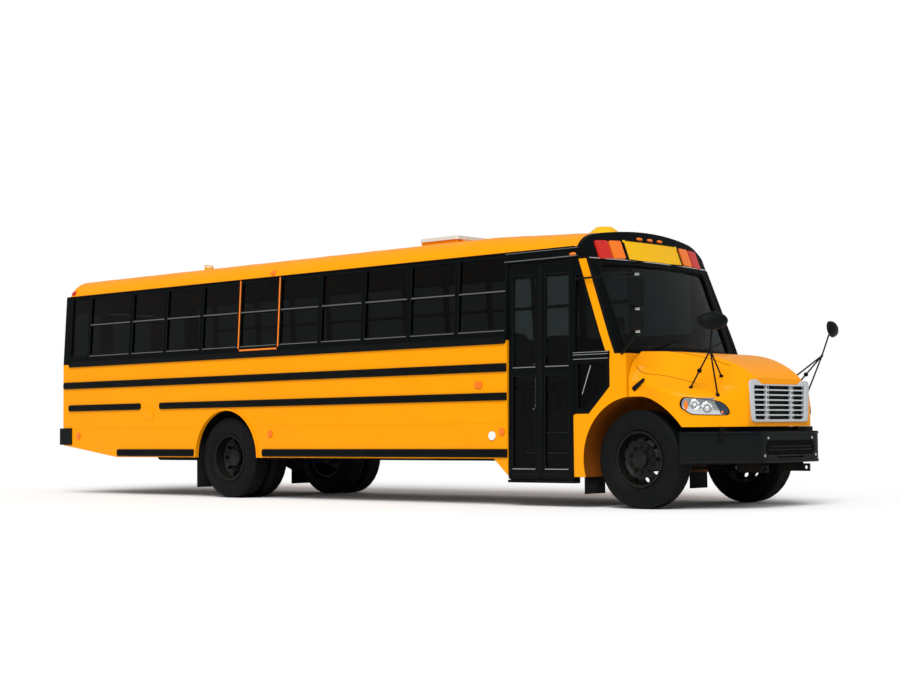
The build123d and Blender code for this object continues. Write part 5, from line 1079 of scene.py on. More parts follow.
@dataclass
class BodySides(Assembly):
    """Rivets, seams, rail beads, window trim and the fuel flap of both sides."""

    lap_seam: float = 0.948
    seam_rows: tuple = (1.455, 1.655)
    rivet_pitch: float = 0.055
    post_pitch: float = 0.075
    rivet: float = 0.0055
    rivet_arch: float = 0.66
    rail_proud: float = 0.018
    split: float = 2.430
    pane_bottom: float = 1.985
    pane_top: float = 2.815
    # Rear and front ends, both behind the front axle, and for the flap its bottom and top
    fuel_flap: tuple = (8.362, 8.183, 1.056, 1.225)
    rail_gap: tuple = (8.458, 8.032)
    arch_radius: float = 0.62
    arch_height: float = 0.53

    def on_band(self, shop: Shop, side: int, along: Point, height: Point, proud: float) -> None:
        """Add a thin strip that lies on the leaning window band.

        Args:
            shop: Piece that takes the strip.
            side: Side of the bus.
            along: Its rear and front ends.
            height: Its bottom and top.
            proud: How far it stands out.
        """
        (rear, front), (low, high) = along, height
        corners = ((rear, low), (front, low), (front, high), (rear, high))
        sunk = -0.002
        rows = [[(x, side * (self.layout.skin(z) + out), z) for x, z in corners] for out in (sunk, proud)]
        shop.loft(rows)

    def head(self, side: int, door: float, other: float) -> float:
        """Front end of a row, held back from the entrance, or on the left from its front edge's place."""
        return self.layout.door_rear - door if side < 0 else self.layout.door_front - other

    def rivets(self, side: int, name: str) -> None:
        """Add the rivet rows of one side."""
        y, axle, out = side * self.layout.half, self.layout.rear_axle, (0, side, 0)
        with self.piece(f"rivets_{name}", "yellow_enamel", Body.CHASSIS, "yellow_paint") as shop:
            x = self.layout.body_rear + 0.06
            while x < self.head(side, 0.05, 0.05):
                for z in (self.lap_seam, *self.seam_rows):
                    if z != self.lap_seam or abs(x - axle) > self.rivet_arch * 0.75:
                        shop.stud((x, y, z), out, self.rivet, 0.003, 6)
                x += self.rivet_pitch
            for post, _ in self.layout.bays():
                z = 0.72
                while z < 1.80:
                    if abs(post - axle) > self.rivet_arch or z > 1.2:
                        shop.stud((post, y, z), out, self.rivet, 0.003, 6)
                    z += self.post_pitch

    def trim(self, side: int, name: str) -> None:
        """Add the sash lines, window frames and gutter of one side."""
        split, bottom, top = self.split, self.pane_bottom, self.pane_top
        with self.piece(f"sash_lines_{name}", "bare_steel") as shop:
            for rear, front in self.layout.bays():
                along = (rear + 0.035, front - 0.035)
                self.on_band(shop, side, along, (split - 0.007, split + 0.007), 0.006)
                self.on_band(shop, side, along, (bottom - 0.010, bottom), 0.005)
        with self.piece(f"window_frames_{name}", "dark_plastic") as shop:
            for rear, front in self.layout.bays():
                ends, middle = (rear + 0.03, front - 0.03), (rear + front) / 2
                for x in ends:
                    self.on_band(shop, side, (x - 0.006, x + 0.006), (bottom, top), 0.005)
                self.on_band(shop, side, ends, (top, top + 0.012), 0.005)
                latch = (middle - 0.05, middle + 0.05)
                self.on_band(shop, side, latch, (split + 0.008, split + 0.030), 0.010)
        with self.piece(f"gutter_{name}", "rail_black") as shop:
            y, z = self.layout.skin(self.layout.eave) - 0.004, self.layout.eave
            row = [(0.0, -0.006), (0.016, -0.004), (0.018, 0.004), (0.0, 0.006)]
            ends = (self.layout.body_rear + 0.03, self.layout.door_front)
            shop.loft([[(x, side * (y + a), z + b) for a, b in row] for x in ends])

    def exit_marks(self, side: int, name: str) -> None:
        """Add the orange strips round the push-out window of one side."""
        with self.piece(f"exit_strips_{name}", "exit_orange") as shop:
            rear, front = self.layout.bays()[self.layout.exit_bay]
            for x in (rear, front):
                height = (1.955, self.layout.eave - 0.008)
                self.on_band(shop, side, (x - 0.011, x + 0.011), height, 0.004)
            self.on_band(shop, side, (rear + 0.02, front - 0.02), (1.921, 1.943), 0.004)

    def rail_beads(self, side: int, name: str) -> None:
        """Add the pressed beads along the rub rails of one side, and their ends at the door."""
        tail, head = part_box("rub_rails")[0].x, self.head(side, 0.01, 0.06)
        gap_rear, gap_front = (self.layout.back(v) for v in self.rail_gap)
        axle, wall = self.layout.rear_axle, self.layout.half
        face = side * (wall + self.rail_proud)
        # Columns: rear and front ends, bottom and top
        rows = (
            (tail, head, 1.515, 1.610),
            (tail + 0.13, gap_rear, 1.190, 1.278),
            (gap_front, head, 1.190, 1.278),
            (self.layout.body_rear + 1.31, axle - 0.65, 0.545, 0.640),
            (axle + 0.73, head, 0.545, 0.640),
        )
        row = [(-0.012, 0.0), (-0.006, 0.006), (0.006, 0.006), (0.012, 0.0), (0.0, -0.004)]
        with self.piece(f"rail_beads_{name}", "rail_black") as shop:
            for rear, front, bottom, top in rows:
                for share in (0.22, 0.5, 0.78):
                    z = bottom + (top - bottom) * share
                    ends = (rear + 0.03, front - 0.03)
                    shop.loft([[(x, face + side * (b - 0.001), z + a) for a, b in row] for x in ends])
                if front == head and side < 0:
                    low, high = (head - 0.09, -wall - 0.0175, bottom), (head + 0.006, -wall + 0.002, top)
                    shop.slab(low, high, 0.002)

    def seams(self, side: int, name: str) -> None:
        """Add the lap seam of one side, broken by the wheel arch."""
        y, z, axle = side * self.layout.half, self.lap_seam, self.layout.rear_axle
        arch = math.sqrt(self.arch_radius**2 - (z - self.arch_height) ** 2) + 0.03
        ends = (self.layout.body_rear + 0.02, self.head(side, 0.0, 0.0) - 0.01)
        with self.piece(f"lap_seam_{name}", "yellow_enamel", Body.CHASSIS, "yellow_paint") as shop:
            for a, b in ((ends[0], axle - arch), (axle + arch, ends[1])):
                low, high = sorted((y - side * 0.002, y + side * 0.0025))
                shop.slab((a, low, z - 0.018), (b, high, z - 0.015))

    def flap(self) -> None:
        """Add the fuel flap on the right side, with its hinge and latch."""
        rear, front = (self.layout.back(v) for v in self.fuel_flap[:2])
        low, high = self.fuel_flap[2:]
        y = -self.layout.half
        with self.piece("fuel_flap", "yellow_enamel", Body.CHASSIS, "yellow_paint") as shop:
            shop.slab((rear, y - 0.008, low), (front, y + 0.004, high), 0.004)
            shop.slab((rear + 0.01, y - 0.011, high - 0.02), (front - 0.01, y, high - 0.008), 0.002)
            shop.stud(((rear + front) / 2, y - 0.007, low + 0.03), (0, -1, 0), 0.012, 0.006, 14)

    def build(self) -> None:
        """Build both sides."""
        for side in Side:
            for rows in (self.rivets, self.trim, self.exit_marks, self.rail_beads, self.seams):
                rows(side.value, side.name.lower())
        self.flap()


@dataclass
class Entrance(Assembly):
    """Door seals, grab rail, step edges, drip rails and the windows ahead of the door."""

    bottom: float = 0.305
    top: float = 2.710
    lean: float = 0.020356
    gap: float = 0.010
    meeting: float = 0.006
    seal: float = 0.028
    stile: float = 0.065
    panes: tuple = ((0.425, 1.450), (1.560, 2.580))
    gasket: float = 0.012
    steps: int = 3
    first_step: float = 0.360
    step_rise: float = 0.230
    step_run: float = 0.240
    lowest_setback: float = 0.020
    quarter_front: float = 0.300

    def on_door(self, across: float, up: float, out: float) -> Vector:
        """Point on the door's leaning plane.

        Args:
            across: Distance ahead of the doorway's rear edge.
            up: Distance above the leaf's foot, along the plane.
            out: Distance outside the plane.

        Returns:
            The point in the frame of the bus.
        """
        rise = Vector((0.0, math.sin(self.lean), math.cos(self.lean)))
        outward = Vector((0.0, -math.cos(self.lean), math.sin(self.lean)))
        base = Vector((self.layout.door_rear, -self.layout.half, self.bottom))
        return base + Vector((across, 0.0, 0.0)) + rise * up + outward * out

    def strip(self, shop: Shop, across: Point, up: Point, out: Point) -> None:
        """Add a block in the door's own plane, between two places each way."""
        (a, b), (low, high) = across, up
        corners = ((a, low), (b, low), (b, high), (a, high))
        shop.loft([[self.on_door(u, v, depth) for u, v in corners] for depth in out])

    def leaf(self, body: Body, start: float, width: float, meet: float, step: float, name: str) -> None:
        """Add the seals, gaskets and bright lines of one leaf.

        Args:
            body: Body of the leaf.
            start: Its rear edge, ahead of the doorway's.
            width: Its width.
            meet: Edge that meets the other leaf.
            step: Width of the seal there, signed into the leaf.
            name: Name of the leaf.
        """
        tall = (0.02, (self.top - self.bottom) / math.cos(self.lean) - 0.02)
        inner = (start + self.stile, start + width - self.stile)
        with self.piece(f"door_seal_{name}", "seal_rubber", body) as shop:
            self.strip(shop, sorted((meet, meet + step)), tall, (0.0, 0.009))
            self.strip(shop, sorted((meet + step * 0.3, meet + step * 0.7)), tall, (0.008, 0.013))
            self.strip(shop, (start + 0.03, start + width - 0.03), (0.03, 0.07), (0.0, 0.006))
        with self.piece(f"door_gasket_{name}", "seal_rubber", body) as shop:
            for down, rise in self.panes:
                low, high = (inner[0], down - self.bottom), (inner[1], rise - self.bottom)
                for (a, u), (b, v) in border(low, high, self.gasket):
                    self.strip(shop, (a, b), (u, v), (-0.001, 0.005))
        with self.piece(f"door_pane_line_{name}", "bright_plate", body) as shop:
            for down, _ in reversed(self.panes):
                foot = down - self.gasket - self.bottom
                self.strip(shop, inner, (foot, foot + 0.009), (0.003, 0.008))

    def grab_rail(self, across: float) -> None:
        """Add the bent rail inside the rear leaf."""
        # Columns: height above the leaf's foot, distance outside the door
        bends = ((0.78, -0.036), (0.80, -0.075), (0.86, -0.082))
        bends += ((1.20, -0.082), (1.26, -0.075), (1.28, -0.036))
        with self.piece("door_grab_rail", "bright_plate", Body.REAR_LEAF) as shop:
            shop.tube([self.on_door(across, up, out) for up, out in bends], 0.012)

    def steps_and_rails(self) -> None:
        """Add the white edges of the steps and the drip rails over the door."""
        rear, front = self.layout.door_rear, self.layout.door_front
        with self.piece("step_edges", "white_enamel") as shop:
            for i in range(self.steps):
                z = self.first_step + i * self.step_rise
                setback = i * self.step_run if i else self.lowest_setback
                y = -self.layout.half + 0.045 + setback
                shop.slab((rear + 0.03, y - 0.002, z - 0.028), (front - 0.03, y + 0.035, z + 0.004), 0.003)
        with self.piece("door_drip_rail", "bare_steel") as shop:
            for low, high, proud in ((2.752, 2.762, 0.030), (2.845, 2.853, 0.012)):
                y = -self.layout.skin(low)
                shop.slab((rear - 0.04, y - proud, low), (front + 0.06, y + 0.004, high), 0.003)

    def quarter(self) -> None:
        """Add the black bars, bright lines and brace of the windows ahead of the door."""
        wall, rear = -self.layout.half, self.layout.door_front
        front = self.layout.back(self.quarter_front)
        with self.piece("quarter_bars", "black_enamel", Body.CHASSIS, "black_paint") as shop:
            shop.slab((rear - 0.004, wall - 0.006, 1.612), (front + 0.004, wall + 0.004, 1.694), 0.003)
            shop.slab((rear - 0.004, wall - 0.005, 1.010), (rear + 0.020, wall + 0.004, 1.620), 0.003)
        with self.piece("quarter_lines", "bright_plate") as shop:
            for z in (1.6885, 1.664, 1.616):
                low, high = (rear + 0.01, wall - 0.010, z - 0.0026), (front - 0.01, wall - 0.004, z + 0.0026)
                shop.slab(low, high, 0.001)
        with self.piece("quarter_brace", "bright_plate") as shop:
            ends = ((rear + 0.235, 1.545), (rear + 0.115, 1.235))
            shop.tube([(x, wall + 0.014, z) for x, z in ends], 0.006, 8)

    def build(self) -> None:
        """Build the entrance's pieces."""
        width = (self.layout.door_front - self.layout.door_rear - 2 * self.gap - self.meeting) / 2
        rear, front = self.gap, self.gap + width + self.meeting
        self.leaf(Body.REAR_LEAF, rear, width, rear + width, -self.seal, "rear")
        self.leaf(Body.FRONT_LEAF, front, width, front, self.seal, "front")
        self.grab_rail(rear + width * 0.72)
        self.steps_and_rails()
        self.quarter()


@dataclass
class FrontCap(Assembly):
    """Bright lower edge, sign border, marker lamps, screen gasket and wipers."""

    bottom: float = 2.720
    marker_height: float = 2.996
    marker_places: tuple = (-0.195, 0.0, 0.195)
    door_marker: float = 2.778

    def trim(self, skin: Skin) -> None:
        """Add the bright lower edge and the border of the sign."""
        x = self.layout.before
        with self.piece("cap_bright_edge", "bright_plate") as shop:
            places = [(i / 30 * 2 - 1) * 1.12 for i in range(31)]
            starts = [(x, y, self.bottom + 0.012) for y in places]
            shop.tube(skin.trail(starts, ASTERN, (0.004, 0, 0)), 0.008)
        low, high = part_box("sign_panel")
        sign = Skin(self.nodes["sign_panel"])
        right, left = low.y + 0.006, high.y - 0.006
        down, up = low.z + 0.008, high.z - 0.008
        with self.piece("sign_border", "dark_plastic") as shop:
            for z in (down, up):
                sign.bead(shop, [(x, right, z), (x, left, z)], ASTERN, 0.001, 0.008)
            for y in (right, left):
                sign.bead(shop, [(x, y, down), (x, y, up)], ASTERN, 0.001, 0.010, 8)

    def markers(self, skin: Skin) -> None:
        """Add the three amber lamps over the sign and the one beside the door's header."""
        walls = ("right_window_band", "door_frame", "cowl", "front_cap")
        with (
            self.piece("cap_markers", "amber_lens", Body.CHASSIS, "amber_lens") as lamps,
            self.piece("cap_marker_seats", "dark_plastic") as seats,
        ):
            for y in self.marker_places:
                for shop, size, lift, crown in (
                    (seats, (0.062, 0.026), 0.004, 0.0),
                    (lamps, (0.052, 0.019), 0.010, 0.016),
                ):
                    edge = [(self.layout.before, y + a, self.marker_height + b) for a, b in oval(*size)]
                    skin.cover(shop, edge, ASTERN, lift, crown)
            wall = Skin(*(self.nodes[name] for name in walls))
            x = self.layout.door_front - 0.02
            edge = [(x + a, -2.0, self.door_marker + b) for a, b in oval(0.046, 0.021)]
            wall.cover(lamps, edge, LEFTWARD, 0.006, 0.014)

    def gasket(self, skin: Skin) -> None:
        """Add the rubber bead round the windshield."""
        low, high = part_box("windshield")
        half, down, up = high.y + 0.012, low.z - 0.014, high.z + 0.016
        middle = (up + down) / 2
        outline = [(y, middle + z) for y, z in rounded(half, (up - down) / 2, 0.09, 6)]
        fine = []
        for (y0, z0), (y1, z1) in zip(outline, outline[1:] + outline[:1]):
            count = max(1, int(math.hypot(y1 - y0, z1 - z0) / 0.05))
            fine += [(y0 + (y1 - y0) * i / count, z0 + (z1 - z0) * i / count) for i in range(count)]
        starts = [(self.layout.before, y, z) for y, z in fine + fine[:1]]
        with self.piece("windshield_gasket", "seal_rubber") as shop:
            shop.tube(skin.trail(starts, ASTERN, (0.003, 0.0, 0.001)), 0.011, 8)

    def wipers(self, cap: Skin) -> None:
        """Add two wiper arms with blades that lie on the windshield."""
        glass, x = Skin(self.nodes["windshield"]), self.layout.before
        with self.piece("wipers", "dark_plastic") as shop:
            for pivot, tip in ((0.18, 0.92), (-0.72, -0.02)):
                foot = cap.hit((x, pivot, 1.700), ASTERN)
                blade = glass.line([(x, tip - 0.34, 1.775), (x, tip + 0.02, 1.850)], ASTERN, 0.012, 12)
                if not foot or len(blade) < 2:
                    continue
                base = foot[0] + foot[1] * 0.02
                shop.stud(foot[0], foot[1], 0.026, 0.03, 14)
                joint = blade[len(blade) // 2] + Vector((0.012, 0.0, 0.004))
                shop.tube([base, base.lerp(joint, 0.5) + Vector((0.02, 0, 0)), joint], 0.008, 8)
                shop.tube(blade, 0.007, 8)
                shop.tube([p + Vector((0.008, 0, 0.002)) for p in blade], 0.005, 6)

    def build(self) -> None:
        """Build the pieces on the front cap and the windshield."""
        skin = Skin(self.nodes["front_cap"])
        self.trim(skin)
        self.markers(skin)
        self.gasket(skin)
        self.wipers(skin)


@dataclass
class Hood(Assembly):
    """Seams, latches, headlights and the grille."""

    nose: float = 1.045
    lamp: tuple = (0.78, 0.96, 1.085)
    bars: int = 6
    post: float = 0.245
    # Outlines of the headlight and of its dark end: columns are across and up
    tear: tuple = (
        (0.298, 0.015), (0.288, 0.063), (0.253, 0.089), (0.174, 0.085), (0.075, 0.073), (-0.024, 0.061),
        (-0.113, 0.045), (-0.172, 0.012), (-0.212, -0.034), (-0.222, -0.073), (-0.198, -0.096),
        (-0.123, -0.100), (0.016, -0.098), (0.134, -0.094), (0.194, -0.084), (0.253, -0.049),
        (0.288, -0.019),
    )  # fmt: skip
    shade: tuple = (
        (-0.060, 0.040), (-0.113, 0.034), (-0.163, 0.005), (-0.198, -0.037), (-0.206, -0.070),
        (-0.188, -0.085), (-0.130, -0.087), (-0.105, -0.040),
    )  # fmt: skip
    # Left halves of the grille frame's edges: columns are across and up
    grille_edge: tuple = (
        (0.0, 1.313), (0.360, 1.313), (0.395, 1.325), (0.425, 1.350), (0.465, 1.360), (0.545, 1.358),
        (0.580, 1.345), (0.594, 1.310), (0.580, 1.100), (0.566, 0.955), (0.550, 0.925), (0.520, 0.912),
        (0.0, 0.912),
    )  # fmt: skip
    grille_hole: tuple = (
        (0.0, 1.297), (0.360, 1.297), (0.395, 1.297), (0.425, 1.297), (0.465, 1.297), (0.490, 1.297),
        (0.502, 1.290), (0.506, 1.275), (0.498, 1.100), (0.490, 0.965), (0.486, 0.950), (0.470, 0.940),
        (0.0, 0.940),
    )  # fmt: skip

    def seams(self, skin: Skin) -> None:
        """Add the shut lines that run over the hood and its fenders."""
        above = 2.2
        # Columns: place ahead of the front axle, half width
        crease = ((-0.05, 0.78), (0.45, 0.66), (0.80, 0.56))
        fender = ((-0.04, 1.09), (0.25, 1.02), (0.62, 0.93))
        with self.piece("hood_seams", "seal_rubber", Body.HOOD) as shop:
            for side in SIDES:
                for row in (crease, fender):
                    points = [self.layout.ahead(x, side * y, above) for x, y in row]
                    skin.bead(shop, points, DOWN, -0.001, 0.0035)

    def latches(self, skin: Skin) -> None:
        """Add a pull-down latch at each rear corner."""
        along = Vector((0.55, 0.0, 0.42)).normalized()
        # Columns: place along the latch, half width, height
        sections = ((0, 0.016, 0.004), (0.03, 0.024, 0.016), (0.13, 0.020, 0.018), (0.21, 0.012, 0.006))
        with self.piece("hood_latches", "seal_rubber", Body.HOOD) as shop:
            for side in SIDES:
                met = skin.hit(self.layout.ahead(-0.015, side * 2.0, 1.285), (0, -side, 0))
                if not met:
                    continue
                spot, out = met
                across = out.cross(along).normalized()
                rows = []
                for share, width, lift in sections:
                    base = spot + along * (share - 0.05)
                    corners = ((-width, 0.0), (-width, lift), (width, lift), (width, 0.0))
                    rows.append([base + across * a + out * b for a, b in corners])
                shop.loft(rows)

    def lamps(self, skin: Skin) -> None:
        """Add the bezel, reflector, bowls and coloured ends of each headlight."""
        tear, shade = flowing(self.tear), flowing(self.shade)
        middle = sum(tear, Vector((0.0, 0.0))) / len(tear)
        inner = [middle + (point - middle) * 0.92 for point in tear]
        # Covers the CAD lamp in the body's colour, round the headlight
        surround = [(0.03 + a, b) for a, b in stadium(0.1675, 0.091, 0.091, 48)]
        end = [(0.236 + a, 0.005 + b) for a, b in oval(0.020, 0.050)]
        dot = [(-0.140 + a, -0.066 + b) for a, b in oval(0.012, 0.014)]
        with (
            self.piece("headlight_amber_ends", "amber_lens", Body.HOOD, "amber_lens") as ambers,
            self.piece("headlight_bulbs", "clear_lens", Body.HOOD, "clear_lens") as bulbs,
            self.piece("headlight_bowls", "mirror_glass", Body.HOOD, "lamp_chrome") as bowls,
            self.piece("headlight_shades", "lamp_shade", Body.HOOD, "dark_plastic") as shades,
            self.piece("headlight_reflectors", "bright_plate", Body.HOOD, "lamp_chrome") as reflectors,
            self.piece("headlight_bezels", "dark_plastic", Body.HOOD) as bezels,
            self.piece("headlight_surrounds", "yellow_enamel", Body.HOOD, "yellow_paint") as surrounds,
        ):
            for side in SIDES:
                ahead, y, z = self.lamp
                out = Vector((1.0, side, 0.0)).normalized()
                across = Vector((-1.0, side, 0.0)).normalized()
                start = self.layout.ahead(ahead, side * y, z) + out * 0.6
                # Columns: piece, outline, height of its edge, crown
                for shop, outline, lift, crown in (
                    (surrounds, surround, 0.0035, 0.0),
                    (bezels, tear, 0.0065, 0.0),
                    (reflectors, inner, 0.009, 0.004),
                    (shades, shade, 0.014, 0.003),
                    (ambers, end, 0.011, 0.004),
                    (ambers, dot, 0.016, 0.003),
                ):
                    spots = [start + across * u + Vector(UP) * v for u, v in outline]
                    skin.cover(shop, spots, -out, lift, crown)
                for u, v, radius in ((0.148, 0.012, 0.056), (0.020, -0.022, 0.062)):
                    met = skin.hit(start + across * u + Vector(UP) * v, -out)
                    if not met:
                        continue
                    point = met[0] + met[1] * 0.009
                    # Columns: share of the radius, place along the bowl's axis
                    bowl = ((1.0, 0.0), (1.0, 0.006), (0.9, 0.009), (0.55, 0.003), (0.2, 0.001))
                    bowls.lathe(point, met[1], [(radius * a, b) for a, b in bowl], 32, True)
                    bulbs.stud(point, met[1], radius * 0.3, 0.014, 16)

    def grille(self) -> None:
        """Add the eared frame, thin bars, posts, clips and dark screen of the grille."""
        low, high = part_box("grille")
        face = self.layout.front_axle + self.nose
        bottom, top = self.grille_hole[-1][1], self.grille_hole[0][1]
        pitch = (top - bottom + 0.016) / (self.bars + 1)
        lowest = bottom - 0.008
        outer, inner = (
            list(half) + [(-y, z) for y, z in reversed(half[1:-1])]
            for half in (self.grille_edge, self.grille_hole)
        )
        with self.piece("grille_screen", "dark_plastic", Body.HOOD) as shop:
            corner = (low.x - 0.012, low.y + 0.01, low.z + 0.005)
            shop.slab(corner, (low.x - 0.004, high.y - 0.01, high.z - 0.01))
        with self.piece("grille_frame", "grille_silver", Body.HOOD, "grille_silver") as frame:
            # Columns: place ahead of the nose, share of the way from the edge to the hole
            levels = ((-0.004, 0.0), (0.010, 0.0), (0.015, 0.12), (0.013, 0.9), (0.004, 1.0), (-0.030, 1.0))
            rings = []
            for ahead, share in levels:
                rings.append(frame.ring((face + ahead, y, z) for y, z in mixed(outer, inner, share)))
            for first, second in zip(rings, rings[1:] + rings[:1]):
                frame.bridge(first, second)
            for i in range(1, self.bars + 1):
                z = lowest + i * pitch
                frame.slab((face - 0.026, -0.500, z - 0.008), (face + 0.005, 0.500, z + 0.008), 0.004)
            for y in (-self.post, self.post):
                corner = (face - 0.028, y - 0.024, bottom - 0.004)
                frame.slab(corner, (face + 0.008, y + 0.024, top + 0.004), 0.004)
        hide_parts("grille")
        with self.piece("grille_clips", "dark_plastic", Body.HOOD) as shop:
            for y in (-self.post, self.post):
                for i in range(self.bars + 1):
                    z = lowest + (i + 0.5) * pitch
                    corner = (face + 0.004, y - 0.013, z - 0.010)
                    shop.slab(corner, (face + 0.011, y + 0.013, z + 0.010), 0.002)
        with self.piece("grille_brow", "yellow_enamel", Body.HOOD, "yellow_paint") as shop:
            shop.slab((face - 0.010, -0.400, 1.308), (face + 0.002, 0.400, 1.350), 0.001)

    def build(self) -> None:
        """Build the hood's pieces."""
        skin = Skin(self.nodes["hood_shell"])
        self.seams(skin)
        self.latches(skin)
        self.lamps(Skin(self.nodes["hood_shell"], self.nodes["headlights"]))
        self.grille()


@dataclass
class Bumpers(Assembly):
    """Bolts, painted shade of the centre slot, backing and lips of the bumpers."""

    slot_shade_height: float = 0.640

    def front(self) -> None:
        """Add the front bumper's pieces."""
        low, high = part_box("front_bumper")
        face = high.x
        with self.piece("bumper_bolts", "bright_plate") as shop:
            for y, z in ((0.440, 0.745), (0.510, 0.560)):
                for side in SIDES:
                    shop.stud((face, side * y, z), AHEAD, 0.015, 0.010, 12)
        # Painted shade: a near-black sheet on the bumper's face stands for the shadowed opening of the
        # centre slot
        with self.piece("bumper_insert", "slot_black") as shop:
            slot = stadium(0.415, 0.070, 0.078, 32)
            levels = (face - 0.001, face + 0.003)
            shop.loft([[(x, y, self.slot_shade_height + z) for y, z in slot] for x in levels])
        with self.piece("bumper_bars", "floor_rubber") as shop:
            # Columns: place ahead of the bumper, half length, height, radius
            for ahead, half, z, radius in (
                (0.003, 0.40, 0.652, 0.005),
                (0.003, 0.43, 0.618, 0.005),
                (0.0, 0.46, 0.556, 0.009),
            ):
                shop.tube([(face + ahead, -half, z), (face + ahead, half, z)], radius, 8)
        with self.piece("bumper_backing", "chassis_black", Body.CHASSIS, "chassis_paint") as shop:
            shop.slab((face - 0.285, -0.92, 0.70), (face - 0.270, 0.92, 0.8635), 0.001)
        skin = Skin(self.nodes["front_bumper"])
        with self.piece("bumper_lips", "bumper_black") as shop:
            for z in (low.z + 0.018, high.z - 0.018):
                points = [(face + 0.6, y, z) for y in (-1.15, -0.6, 0.6, 1.15)]
                skin.bead(shop, points, ASTERN, 0.001, 0.011, 14, 8)

    def build(self) -> None:
        """Build the pieces of both bumpers."""
        self.front()
        low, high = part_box("rear_bumper")
        with self.piece("rear_bumper_bolts", "bare_steel") as shop:
            for y in (-0.9, -0.4, 0.4, 0.9):
                shop.stud((low.x, y, (low.z + high.z) / 2), ASTERN, 0.016, 0.004, 12)


@dataclass
class RearEnd(Assembly):
    """Gaskets and the handle of the rear wall."""

    window: tuple = ((0.580, 1.960), (1.031, 2.640))
    door_panes: tuple = (((-0.36, 1.900), (0.36, 2.570)), ((-0.36, 1.180), (0.36, 1.680)))
    handle_height: float = 1.795

    def frame(self, shop: Shop, low: Point, high: Point, width: float) -> None:
        """Add a flat frame round an opening in the rear wall."""
        x = self.layout.body_rear
        for first, second in border(low, high, width):
            shop.slab((x - 0.006, *first), (x + 0.002, *second), 0.002)

    def build(self) -> None:
        """Build the rear wall's pieces."""
        (inner, bottom), (outer, top) = self.window
        with self.piece("rear_gaskets", "seal_rubber") as shop:
            for side in SIDES:
                low, high = sorted((side * inner, side * outer))
                self.frame(shop, (low, bottom), (high, top), 0.022)
        with self.piece("exit_door_gaskets", "seal_rubber", Body.EXIT_DOOR) as shop:
            for low, high in self.door_panes:
                self.frame(shop, low, high, 0.020)
        x, z = self.layout.body_rear, self.handle_height
        with self.piece("exit_door_handle", "bright_plate", Body.EXIT_DOOR) as shop:
            shop.slab((x - 0.012, 0.30, z - 0.035), (x + 0.002, 0.42, z + 0.035), 0.004)
            bends = ((0.010, 0.38), (0.05, 0.38), (0.055, 0.36), (0.055, 0.20))
            shop.tube([(x - behind, y, z) for behind, y in bends], 0.011, 10)


